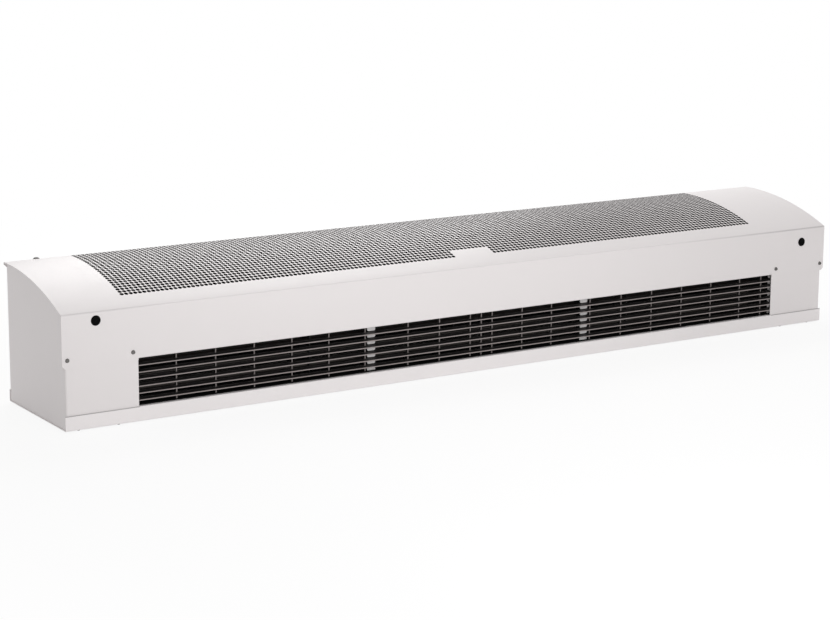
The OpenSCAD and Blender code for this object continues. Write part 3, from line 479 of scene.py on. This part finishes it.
def make_surfaces(colours):
    """Makes every finish once, by the name of its material slot. Metals have a colour, a
    roughness, the scale of their grain and the spread of their tone; moulded ones have a
    colour, a roughness and the scale of their grain."""
    fills = {
        "casing_paint": lambda n: cover_paint(n, colours.paint),
        # The base's finish: the lighter copy of the powder coat as painted light, with painted
        # shade in the seam over its rail
        "rail_paint_light_and_shade": lambda n: rail(n, colours.rail),
        "galvanised_sheet": lambda n: zinc(n, colours.zinc),
        # The end combs' zinc is lighter than the galvanised sheet's: painted light where the
        # cover's edge shades them
        "zinc_with_painted_light": lambda n: zinc(n, (0.86, 0.83, 0.82)),
        # The duct's matt black is painted shade for the dark inside of the casing
        "duct_sheet": lambda n: coating(n, (0.008, 0.008, 0.008)),
        "grille_blades": lambda n: blades(n, colours.blades, colours.shade),
        # The fan wheels' aluminium is darkened nearly to black: painted shade inside the casing
        "wheel_aluminium": lambda n: metal(n, (0.10, 0.10, 0.10), 0.5, 240, 0.3),
        "bright_steel": lambda n: metal(n, (0.56, 0.55, 0.53), 0.28, 900, 0.08),
        "motor_paint": lambda n: moulded(n, (0.03, 0.031, 0.034), 0.45, 500),
        "cast_aluminium": lambda n: metal(n, (0.45, 0.45, 0.46), 0.5, 350, 0.15),
        "black_rubber": lambda n: moulded(n, (0.016, 0.016, 0.016), 0.75, 900),
        "screw_zinc": lambda n: metal(n, (0.16, 0.155, 0.15), 0.34, 1500, 0.12),
        "shaded_screws": lambda n: moulded(n, (0.02, 0.019, 0.019), 0.6, 1500),
        "bearing_bronze": lambda n: metal(n, (0.45, 0.29, 0.13), 0.42, 1200, 0.15),
        # The heaters' colour is darkened nearly to black: painted shade inside the casing
        "heater_steel": lambda n: heated(n, (0.035, 0.033, 0.031)),
        "ceramic_white": lambda n: moulded(n, (0.76, 0.74, 0.69), 0.35, 600),
        "black_plastic": lambda n: moulded(n, (0.02, 0.02, 0.021), 0.5, 800),
        "terminal_plastic": lambda n: moulded(n, (0.62, 0.59, 0.50), 0.5, 700),
        "plug_plastic": lambda n: coating(n, (0.003, 0.003, 0.003)),
    }
    for slot, fill in fills.items():
        surface(f"{slot}_finish", fill)


def finish_of(slot):
    """The finish of a slot, from those already made."""
    name = f"{slot}_finish"
    if name not in bpy.data.materials:
        make_surfaces(bpy.context.scene.curtain_finish)
    return bpy.data.materials[name]


# Meshes

def mesh_object(name, vertices, quads, slot, dark, finish=None):
    """Puts arrays of points and quads into a new object that rides on the casing. Quads
    marked dark get painted shade, the matt black of the inside, the others their slot's
    finish or another."""
    used, quads = np.unique(quads, return_inverse=True)
    quads = quads.reshape(-1, 4)
    mesh = bpy.data.meshes.new(name)
    mesh.vertices.add(len(used))
    mesh.vertices.foreach_set("co", vertices[used].astype(np.float32).ravel())
    mesh.loops.add(quads.size)
    mesh.loops.foreach_set("vertex_index", quads.astype(np.int32).ravel())
    mesh.polygons.add(len(quads))
    mesh.polygons.foreach_set("loop_start", np.arange(0, quads.size, 4, dtype=np.int32))
    mesh.polygons.foreach_set("material_index", dark.astype(np.int32))
    mesh.update(calc_edges=True)
    mesh.validate()
    mesh.shade_smooth()
    mesh.set_sharp_from_angle(angle=SHARP_EDGE)
    mesh.materials.append(finish_of(finish or slot))
    # Painted shade: the dark quads' matt black
    mesh.materials.append(finish_of("duct_sheet"))
    piece = bpy.data.objects.new(name, mesh)
    bpy.context.scene.collection.objects.link(piece)
    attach(piece, "casing")
    return piece


def casing_points(along, depth, height):
    """Points from places along the casing, depths behind its face and heights over its
    base."""
    shape = np.broadcast_shapes(np.shape(along), np.shape(depth), np.shape(height))
    return np.stack([np.broadcast_to(along, shape), np.broadcast_to(depth + FRONT_Y, shape),
                     np.broadcast_to(height + BASE_Z, shape)], axis=-1)


def closed_sheet(xs, line, inward, thickness, keep):
    """A sheet between two skins: the point at (i, j) is xs[i] along the casing and line[j]
    across it, and the inner skin lies a thickness further along inward[j]. Cells that keep
    leaves out stay open, and a wall joins the skins round every open edge."""
    def skin(offset):
        points = line + offset * inward
        return casing_points(xs[:, None], points[None, :, 0], points[None, :, 1])
    vertices = np.stack([skin(0.0), skin(thickness)])
    index = np.arange(vertices[..., 0].size).reshape(vertices.shape[:3])
    corners = [index[:, :-1, :-1], index[:, 1:, :-1], index[:, 1:, 1:], index[:, :-1, 1:]]
    outer = [c[0] for c in corners]
    inner = [c[1] for c in corners]
    quads = [np.stack(outer, -1)[keep], np.stack(inner[::-1], -1)[keep]]
    frame_keep = np.pad(keep, 1)
    beyond = [frame_keep[1:-1, :-2], frame_keep[2:, 1:-1],
              frame_keep[1:-1, 2:], frame_keep[:-2, 1:-1]]
    for side, other in enumerate(beyond):
        after = (side + 1) % 4
        wall = np.stack([outer[after], outer[side], inner[side], inner[after]], -1)
        quads.append(wall[keep & ~other])
    return vertices, np.concatenate(quads)


def arc(centre, radius, start, end, steps):
    """Points on a circle, centre + radius * (cos t, sin t) for angles t from start to end,
    and the directions to its centre."""
    turn = np.linspace(start, end, steps + 1)
    way = np.stack([np.cos(turn), np.sin(turn)], -1)
    return np.asarray(centre) + radius * way, -way


class CoverLine:
    """The cover's cross-section: a flat front, a small fold, the curved top and a back
    flange. The top is a circle through the fold and the upper rear corner, and the fold's
    circle touches both the front and the top from inside."""

    def __init__(self, cover):
        chord = np.array([CASING_DEPTH, CASING_HEIGHT - cover.fold_height])
        span = np.hypot(*chord)
        reach = math.sqrt(cover.top_radius ** 2 - (span / 2) ** 2)
        self.cover = cover
        self.radius = cover.top_radius
        self.centre = (np.array([0.0, cover.fold_height]) + chord / 2
                       + reach / span * np.array([chord[1], -chord[0]]))
        self.start = math.atan2(cover.fold_height - self.centre[1], -self.centre[0])
        inner = self.radius - cover.fold_radius
        drop = math.sqrt(inner ** 2 - (cover.fold_radius - self.centre[0]) ** 2)
        self.fold = np.array([cover.fold_radius, self.centre[1] + drop])
        self.fold_end = math.atan2(*(self.fold - self.centre)[::-1])

    def top(self, distance, inset=0.0):
        """Point of the curved top at a distance from the fold, measured over the top."""
        turn = self.start - np.asarray(distance) / self.radius
        reach = self.radius - inset
        return self.centre[0] + reach * np.cos(turn), self.centre[1] + reach * np.sin(turn)

    def whole(self):
        """All points of the line from the lower edge to the back flange, with the inward
        directions, and the number of the point where the punched field starts. The back
        fold's circle touches the top from inside too."""
        cover = self.cover
        low = np.array([cover.lower_edge, cover.lower_edge + cover.corner_clip])
        front = np.stack([np.zeros(2), low], -1)
        fold, fold_in = arc(self.fold, cover.fold_radius, math.pi, self.fold_end, steps=8)
        distance = np.concatenate([
            np.linspace(TOP_START, cover.field_arc, TOP_LEAD + 1)[:-1],
            cover.field_arc + cover.pitch * np.arange(cover.rows + 1)])
        y, z = self.top(distance)
        top = np.stack([y, z], -1)
        top_in = (self.centre - top) / self.radius
        start = len(front) + len(fold) + TOP_LEAD
        depth = CASING_DEPTH - cover.back_radius
        inner = self.radius - cover.back_radius
        rise = math.sqrt(inner ** 2 - (depth - self.centre[0]) ** 2)
        corner = np.array([depth, self.centre[1] + rise])
        turn = math.atan2(*(corner - self.centre)[::-1])
        rear, rear_in = arc(corner, cover.back_radius, turn, 0.0, steps=6)
        foot = CASING_HEIGHT - cover.back_flange
        flange = np.array([[CASING_DEPTH, foot + cover.corner_clip], [CASING_DEPTH, foot]])
        points = np.concatenate([front, fold, top, rear, flange])
        inward = np.concatenate([np.tile([1.0, 0.0], (2, 1)), fold_in, top_in, rear_in,
                                 np.tile([-1.0, 0.0], (2, 1))])
        return points, inward, start


def plain_cover(cover):
    """The cover without its punching: a sheet whose cells over the outlet and in the punched
    field stay open, but for the closed patch. The lowest points of both ends move half a
    clip inwards and up. The inner skin below the field is dark with painted shade."""
    line, inward, start = CoverLine(cover).whole()
    field_end = cover.field_start + cover.columns * cover.pitch
    patch_start = cover.field_start + cover.patch_column * cover.pitch
    patch_end = patch_start + cover.patch_columns * cover.pitch
    clip = HALF_LENGTH - cover.corner_clip
    xs = np.array([-HALF_LENGTH, -clip, cover.field_start, -cover.outlet_half, patch_start,
                   patch_end, field_end, cover.outlet_half, clip, HALF_LENGTH])
    middle = ((xs[:-1] + xs[1:]) / 2)[:, None]
    row = np.arange(len(line) - 1)[None]
    in_outlet = np.abs(middle) < cover.outlet_half
    in_field = (middle > cover.field_start) & (middle < field_end)
    in_patch = (middle > patch_start) & (middle < patch_end)
    first = np.where(in_patch, start + cover.patch_rows, start)
    punched = in_field & (row >= first) & (row < start + cover.rows)
    keep = ~(in_outlet & (row == 0)) & ~punched
    vertices, quads = closed_sheet(xs, line, inward, cover.sheet, keep)
    half = cover.corner_clip / 2
    for end, way in ((0, 1), (-1, -1)):
        for foot in (0, -1):
            vertices[:, end, foot] += (way * half, 0.0, half)
    # Painted shade on the inner skin under the punched field
    dark = np.zeros(len(quads), bool)
    dark[keep.sum():2 * keep.sum()] = in_field[np.nonzero(keep)[0], 0]
    return vertices.reshape(-1, 3), quads, dark


def outlet_hem(cover):
    """The hem over the outlet: a lip that runs inwards and a quarter circle up to the front,
    carried along the outlet."""
    centre = [cover.hem_radius, cover.outlet_top + cover.hem_radius - HAIR]
    hem, hem_in = arc(centre, cover.hem_radius, 1.5 * math.pi, math.pi, steps=6)
    lip = [[cover.hem_depth, cover.outlet_top - HAIR]]
    vertices, quads = closed_sheet(
        np.array([-cover.outlet_half, cover.outlet_half]), np.concatenate([lip, hem]),
        np.concatenate([[[0.0, 1.0]], hem_in]), cover.sheet, np.ones((1, len(hem)), bool))
    return vertices.reshape(-1, 3), quads, np.zeros(len(quads), bool)


def joined(parts):
    """One set of points, quads and dark marks from several."""
    points, quads, dark = zip(*parts)
    before = np.cumsum([0] + [len(part) for part in points[:-1]])
    quads = [part + count for part, count in zip(quads, before)]
    return np.concatenate(points), np.concatenate(quads), np.concatenate(dark)


class CURTAIN_OT_cover(bpy.types.Operator):
    """Builds the plain parts of the cover, with the hem over the outlet"""
    bl_idname = "curtain.cover"
    bl_label = "Cover sheet"

    def execute(self, context):
        cover = context.scene.curtain_cover
        vertices, quads, dark = joined([plain_cover(cover), outlet_hem(cover)])
        piece = mesh_object("cover_sheet", vertices, quads, "casing_paint", dark)
        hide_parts("front_cover")
        return {"FINISHED"}


def punched_sheet(line, first, columns):
    """A field of square cells, each with a round hole: the points of a hole and those round
    its cell, at (cos t, sin t) / max(|cos t|, |sin t|), lie at the same angles t, so a ring
    of quads joins them. Points nearer than a thousandth of the pitch become one. The inner
    skin and the walls of the holes are dark with painted shade."""
    cover = line.cover
    turn = np.radians(360 / HOLE_SIDES * (0.5 + np.arange(HOLE_SIDES)))
    way = np.stack([np.cos(turn), np.sin(turn)], -1)
    square = way / np.abs(way).max(axis=-1, keepdims=True) / 2
    rim = way * cover.hole / cover.pitch / 2
    column, row = np.meshgrid(first + np.arange(columns), np.arange(cover.rows), indexing="ij")
    closed = ((column >= cover.patch_column)
              & (column < cover.patch_column + cover.patch_columns)
              & (row < cover.patch_rows))
    column, row = column[~closed], row[~closed]

    def skin(shape, inset):
        x = cover.field_start + (column[:, None] + 0.5 + shape[None, :, 0]) * cover.pitch
        distance = cover.field_arc + (row[:, None] + 0.5 + shape[None, :, 1]) * cover.pitch
        y, z = line.top(distance, inset)
        return casing_points(x, y, z)
    vertices = np.stack([skin(square, 0.0), skin(rim, 0.0),
                         skin(square, cover.sheet), skin(rim, cover.sheet)])
    index = np.arange(vertices[..., 0].size).reshape(vertices.shape[:3])
    after = np.roll(index, -1, axis=2)
    quads = [np.stack([index[0], after[0], after[1], index[1]], -1),
             np.stack([index[3], after[3], after[2], index[2]], -1),
             np.stack([index[1], after[1], after[3], index[3]], -1)]
    # Painted shade on the inner skin and the holes' walls
    dark = np.repeat([False, True, True], quads[0].size // 4)
    quads = np.concatenate([q.reshape(-1, 4) for q in quads])
    points = vertices.reshape(-1, 3)
    step = np.round(points / (cover.pitch * 1e-3)).astype(np.int64)
    _, keep, same = np.unique(step, axis=0, return_index=True, return_inverse=True)
    quads = same.reshape(-1)[quads]
    walls = edge_walls(quads, points[keep], cover)
    return (points[keep], np.concatenate([quads, walls]),
            np.concatenate([dark, np.zeros(len(walls), bool)]))


def edge_walls(quads, points, cover):
    """Quads round the outside of the field: every open edge of the outer skin is joined to
    the nearest points of the inner skin, a sheet thickness further in."""
    edges = np.stack([quads, np.roll(quads, -1, axis=1)], -1).reshape(-1, 2)
    code = edges.min(1) * len(points) + edges.max(1)
    _, first, count = np.unique(code, return_index=True, return_counts=True)
    open_edges = edges[first[count == 1]]
    centre = CoverLine(cover).centre + (FRONT_Y, BASE_Z)
    reach = np.hypot(*(points[:, 1:] - centre).T)
    outer = reach > cover.top_radius - cover.sheet / 2
    rim = open_edges[outer[open_edges[:, 0]]]
    inside = np.unique(open_edges[~outer[open_edges[:, 0]]])
    key = np.stack([points[:, 0], np.arctan2(*(points[:, 1:] - centre).T)], -1)

    def below(which):
        gap = np.hypot(*(key[which][:, None] - key[inside][None]).transpose(2, 0, 1))
        return inside[gap.argmin(1)]
    return np.stack([rim[:, 1], rim[:, 0], below(rim[:, 0]), below(rim[:, 1])], -1)


class CURTAIN_OT_intake(bpy.types.Operator):
    """Builds the punched field of the curved top, in two halves"""
    bl_idname = "curtain.intake"
    bl_label = "Punched intake"

    def execute(self, context):
        cover = context.scene.curtain_cover
        line = CoverLine(cover)
        half = cover.columns // 2
        for name, first, count in (("intake_left", 0, half),
                                   ("intake_right", half, cover.columns - half)):
            vertices, quads, dark = punched_sheet(line, first, count)
            piece = mesh_object(name, vertices, quads, "casing_paint", dark)
            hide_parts("front_cover")
        return {"FINISHED"}


def bar(rows):
    """A closed skin round rows of four corners each, counted anticlockwise from above:
    walls between neighbouring rows and a face on the first and on the last."""
    index = np.arange(rows[..., 0].size).reshape(rows.shape[:2])
    after = np.roll(index, -1, axis=1)
    walls = np.stack([index[:-1], after[:-1], after[1:], index[1:]], -1).reshape(-1, 4)
    return rows.reshape(-1, 3), np.concatenate([walls, index[:1, ::-1], index[-1:]])


def upright(along, depth, heights, inset=0.0):
    """An upright bar between two places along the casing and two depths, in metres of the
    frame, each of whose rows may be narrower by an inset at both ends."""
    low, high = along[0] + inset, along[1] - inset
    rows = [np.stack(np.broadcast_arrays(x, y, heights), -1)
            for x, y in ((low, depth[0]), (high, depth[0]), (high, depth[1]), (low, depth[1]))]
    return bar(np.stack(rows, 1))


def comb_parts(node, comb, leg_first):
    """The parts of one angle, with the dark mark of their quads: a bare tab between every
    two notches, and the root of each tab and the leg behind the notches dark with painted
    shade. A tab's lower corners are quarter circles: at a height h over its foot it is
    narrower by r - sqrt(r^2 - (r - h)^2) at both edges."""
    def part(dark, *shape):
        vertices, quads = upright(*shape)
        return vertices, quads, np.full(len(quads), dark)
    (left, front, foot), (right, back, head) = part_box(node)
    blade = BASE_Z + comb.lowest_blade + comb.blade_pitch * np.arange(comb.blades)
    feet = np.concatenate([[foot], blade + comb.notch_high])
    heads = np.concatenate([blade + comb.notch_low, [head]])
    leg = (left, left + comb.sheet) if leg_first else (right - comb.sheet, right)
    behind = front + comb.notch_depth
    root = ((leg[0] + HAIR, leg[1] - HAIR), (front + comb.sheet / 2, behind + comb.sheet))
    # The leg and the roots are dark with painted shade
    yield part(True, leg, (behind, back), np.array([foot, head]))
    for number, (low, high) in enumerate(zip(feet, heads)):
        radius = comb.corner if number else SQUARE_CORNER
        height = radius * (1 - np.cos(np.linspace(0.0, math.pi / 2, 7)))
        inset = radius - np.sqrt(radius ** 2 - (radius - height) ** 2)
        yield part(False, (left, right), (front, front + comb.sheet),
                   np.append(low + height, high), np.append(inset, 0.0))
        yield part(True, *root, np.array([low + radius, high - HAIR]))


class CURTAIN_OT_combs(bpy.types.Operator):
    """Builds the notched angles at the joints and the ends of the outlet grilles"""
    bl_idname = "curtain.combs"
    bl_label = "Grille combs"

    def execute(self, context):
        for node, leg_first, finish in (
                ("left_grille_comb", False, None), ("right_grille_comb", True, None),
                # The end combs take the lighter zinc: painted light where the cover's edge shades
                # them
                ("left_end_comb", False, "zinc_with_painted_light"), ("right_end_comb", True, "zinc_with_painted_light")):
            vertices, quads, dark = joined(
                comb_parts(node, context.scene.curtain_comb, leg_first))
            piece = mesh_object(f"{node}_sheet", vertices, quads, "galvanised_sheet", dark,
                                finish)
            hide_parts(node)
        return {"FINISHED"}


def finish_nodes(*names, slot=None):
    """Gives each of the frame's own nodes the finish of its material slot, or of another."""
    slots = {part["node"]: part["material_slot"] for part in frame["record"]["subparts"]}
    for name in names:
        mesh = frame["nodes"][name].data
        finish = finish_of(slot or slots[name])
        if not mesh.materials:
            mesh.materials.append(finish)
        for number in range(len(mesh.materials)):
            mesh.materials[number] = finish


class CURTAIN_OT_panels(bpy.types.Operator):
    """Finishes the panels of the casing and the partitions in it"""
    bl_idname = "curtain.panels"
    bl_label = "Casing panels"

    def execute(self, context):
        finish_nodes("left_side_panel", "right_side_panel", "back_panel",
                     "left_partition", "right_partition")
        # The base takes the lighter rail paint: painted light, with painted shade in its seam
        finish_nodes("base_panel", slot="rail_paint_light_and_shade")
        return {"FINISHED"}


class CURTAIN_OT_outlet(bpy.types.Operator):
    """Finishes the outlet grilles and the duct behind them"""
    bl_idname = "curtain.outlet"
    bl_label = "Outlet and duct"

    def execute(self, context):
        finish_nodes("left_outlet_grille", "centre_outlet_grille", "right_outlet_grille",
                     "scroll_panel", "tongue_panel")
        return {"FINISHED"}


class CURTAIN_OT_fan(bpy.types.Operator):
    """Finishes the fan wheels, their shafts and bearings, and the motor"""
    bl_idname = "curtain.fan"
    bl_label = "Fan and motor"

    def execute(self, context):
        finish_nodes("left_fan_wheel", "right_fan_wheel", "centre_shaft", "left_end_shaft",
                     "motor_shaft", "motor_rotor", "motor_body", "motor_front_cap",
                     "motor_rear_cap", "motor_plate", "motor_rubber_mounts", "motor_screws",
                     "centre_bearing", "centre_bearing_ring", "centre_bearing_bracket",
                     "end_bearing", "end_bearing_ring", "end_bearing_housing",
                     "bearing_housing_screws")
        return {"FINISHED"}


class CURTAIN_OT_electrics(bpy.types.Operator):
    """Finishes the heaters and the electrical parts in the end compartments"""
    bl_idname = "curtain.electrics"
    bl_label = "Heaters and electrics"

    def execute(self, context):
        finish_nodes("upper_heater", "middle_heater", "lower_heater", "left_heater_support",
                     "right_heater_support", "heater_bushes", "thermal_cutout",
                     "terminal_plate", "terminal_block", "contactor", "run_capacitor",
                     "capacitor_clip")
        return {"FINISHED"}


class CURTAIN_OT_fittings(bpy.types.Operator):
    """Finishes the screws, plugs, grommet, earth bolt and wall brackets"""
    bl_idname = "curtain.fittings"
    bl_label = "Fittings"

    def execute(self, context):
        finish_nodes("cable_grommet", "earth_bolt", "left_hole_plug", "right_hole_plug",
                     "left_wall_bracket", "right_wall_bracket", "cover_screws",
                     "wall_bracket_screws")
        finish_nodes("base_screws", slot="shaded_screws")
        return {"FINISHED"}


# Stage

SENSOR = 36.0
# The lamps' places, the points that they face and their sizes
KEY_PLACE = (-0.25, -1.45, 0.36)
KEY_TARGET = (0.0, 0.0, 0.1)
KEY_SIZE = 0.9
TOP_PLACE = (0.6, 1.5, 1.5)
TOP_TARGET = (0.1, 0.0, 0.2)
TOP_SIZE = 1.5
SKY_COLOUR = (1, 0.985, 0.987, 1)
FLOOR_COLOUR = (0.95, 0.95, 0.95, 1)
FLOOR_HALF = 30.0
# Distances from the middle of the floor between which its shadow fades out
SHADOW_FADE = (0.9, 1.8)


def white_for_camera(nodes, shader, share):
    """Mixes white light into a shader for rays that show the background itself."""
    outputs = nodes.add("ShaderNodeLightPath").socket.node.outputs
    camera, glossy, through = (Socket(nodes, outputs[name]) for name in (
        "Is Camera Ray", "Is Glossy Ray", "Is Transmission Ray"))
    seen = (camera + glossy + through).above(0.5)
    white = nodes.add("ShaderNodeEmission", None,
                      {"Color": (1, 1, 1, 1), "Strength": 1.0})
    return nodes.add("ShaderNodeMixShader", None, {0: share * seen, 1: shader, 2: white})


def lamp(name, place, target, size, power):
    """A large square area lamp that faces its target: it tips from straight down by the
    angle of the way there, and turns about Z to the way's compass direction."""
    light = bpy.data.lights.new(name, "AREA")
    light.shape, light.size, light.energy = "SQUARE", size, power
    body = bpy.data.objects.new(name, light)
    bpy.context.scene.collection.objects.link(body)
    x, y, z = np.asarray(target) - np.asarray(place)
    body.location = place
    body.rotation_euler = (math.atan2(math.hypot(x, y), -z), 0.0,
                           math.atan2(y, x) - math.pi / 2)


def photo_camera(scene, stage):
    """The camera at the photograph's place, with the shifts of its framing."""
    data = bpy.data.cameras.new("photo_camera")
    data.sensor_width, data.lens = SENSOR, stage.lens
    data.shift_x, data.shift_y = stage.shift_x, stage.shift_y
    camera = bpy.data.objects.new("photo_camera", data)
    scene.collection.objects.link(camera)
    camera.location = stage.camera_place
    camera.rotation_euler = Euler(stage.camera_turn)
    scene.camera = camera


def studio_world(scene, stage):
    """An even light from all round, which the camera sees as white."""
    scene.world = bpy.data.worlds.new("studio")
    nodes = Nodes(scene.world)
    sky = nodes.add("ShaderNodeBackground", None,
                    {"Color": SKY_COLOUR, "Strength": stage.sky})
    nodes.add("ShaderNodeOutputWorld", None, {"Surface": white_for_camera(nodes, sky, 1.0)})


def pale_floor(scene, stage):
    """A white floor under the part, which shows a share of the part's shadow near it."""
    corner = (-FLOOR_HALF, FLOOR_HALF)
    mesh = bpy.data.meshes.new("floor")
    mesh.from_pydata([(x, y, CAD_BOX[0][2]) for y in corner for x in corner], [],
                     [(0, 1, 3, 2)])
    floor = bpy.data.objects.new("floor", mesh)
    scene.collection.objects.link(floor)
    material = bpy.data.materials.new("floor_white")
    nodes = Nodes(material)
    matt = nodes.add("ShaderNodeBsdfDiffuse", None, {"Color": FLOOR_COLOUR})
    away = nodes.add("ShaderNodeVectorMath", {"operation": "LENGTH"}, {0: nodes.place()},
                     output=1)
    share = nodes.add("ShaderNodeMapRange", {"interpolation_type": "SMOOTHSTEP"},
                      {"Value": away, "From Min": SHADOW_FADE[0], "From Max": SHADOW_FADE[1],
                       "To Min": 1.0 - stage.shadow, "To Max": 1.0})
    nodes.add("ShaderNodeOutputMaterial", None,
              {"Surface": white_for_camera(nodes, matt, share)})
    mesh.materials.append(material)


class CURTAIN_OT_stage(bpy.types.Operator):
    """Sets the camera, the lamps, the white surroundings and the floor"""
    bl_idname = "curtain.stage"
    bl_label = "Stage"

    def execute(self, context):
        scene = context.scene
        stage = scene.curtain_stage
        scene.view_settings.view_transform = "Standard"
        photo_camera(scene, stage)
        lamp("key_lamp", KEY_PLACE, KEY_TARGET, KEY_SIZE, stage.key)
        lamp("top_lamp", TOP_PLACE, TOP_TARGET, TOP_SIZE, stage.top)
        studio_world(scene, stage)
        pale_floor(scene, stage)
        return {"FINISHED"}


class CURTAIN_PT_panel(bpy.types.Panel):
    """Lists the steps that dress the air curtain"""
    bl_label = "Air curtain"
    bl_idname = "CURTAIN_PT_panel"
    bl_space_type = "VIEW_3D"
    bl_region_type = "UI"
    bl_category = "Air curtain"

    def draw(self, context):
        for step in STEPS:
            self.layout.operator(step.bl_idname)


STEPS = (CURTAIN_OT_stage, CURTAIN_OT_cover, CURTAIN_OT_intake, CURTAIN_OT_combs,
         CURTAIN_OT_panels, CURTAIN_OT_outlet, CURTAIN_OT_fan, CURTAIN_OT_electrics,
         CURTAIN_OT_fittings)
SETTINGS = {"curtain_cover": CoverSettings, "curtain_comb": CombSettings,
            "curtain_finish": FinishSettings, "curtain_stage": StageSettings}


def register():
    for kind in (*SETTINGS.values(), *STEPS, CURTAIN_PT_panel):
        bpy.utils.register_class(kind)
    for name, kind in SETTINGS.items():
        setattr(bpy.types.Scene, name, bpy.props.PointerProperty(type=kind))


def unregister():
    for name in SETTINGS:
        delattr(bpy.types.Scene, name)
    for kind in (CURTAIN_PT_panel, *reversed(STEPS), *SETTINGS.values()):
        bpy.utils.unregister_class(kind)


def main():
    register()
    for step in STEPS:
        group, name = step.bl_idname.split(".")
        getattr(getattr(bpy.ops, group), name)()


if __name__ == "__main__":
    main()
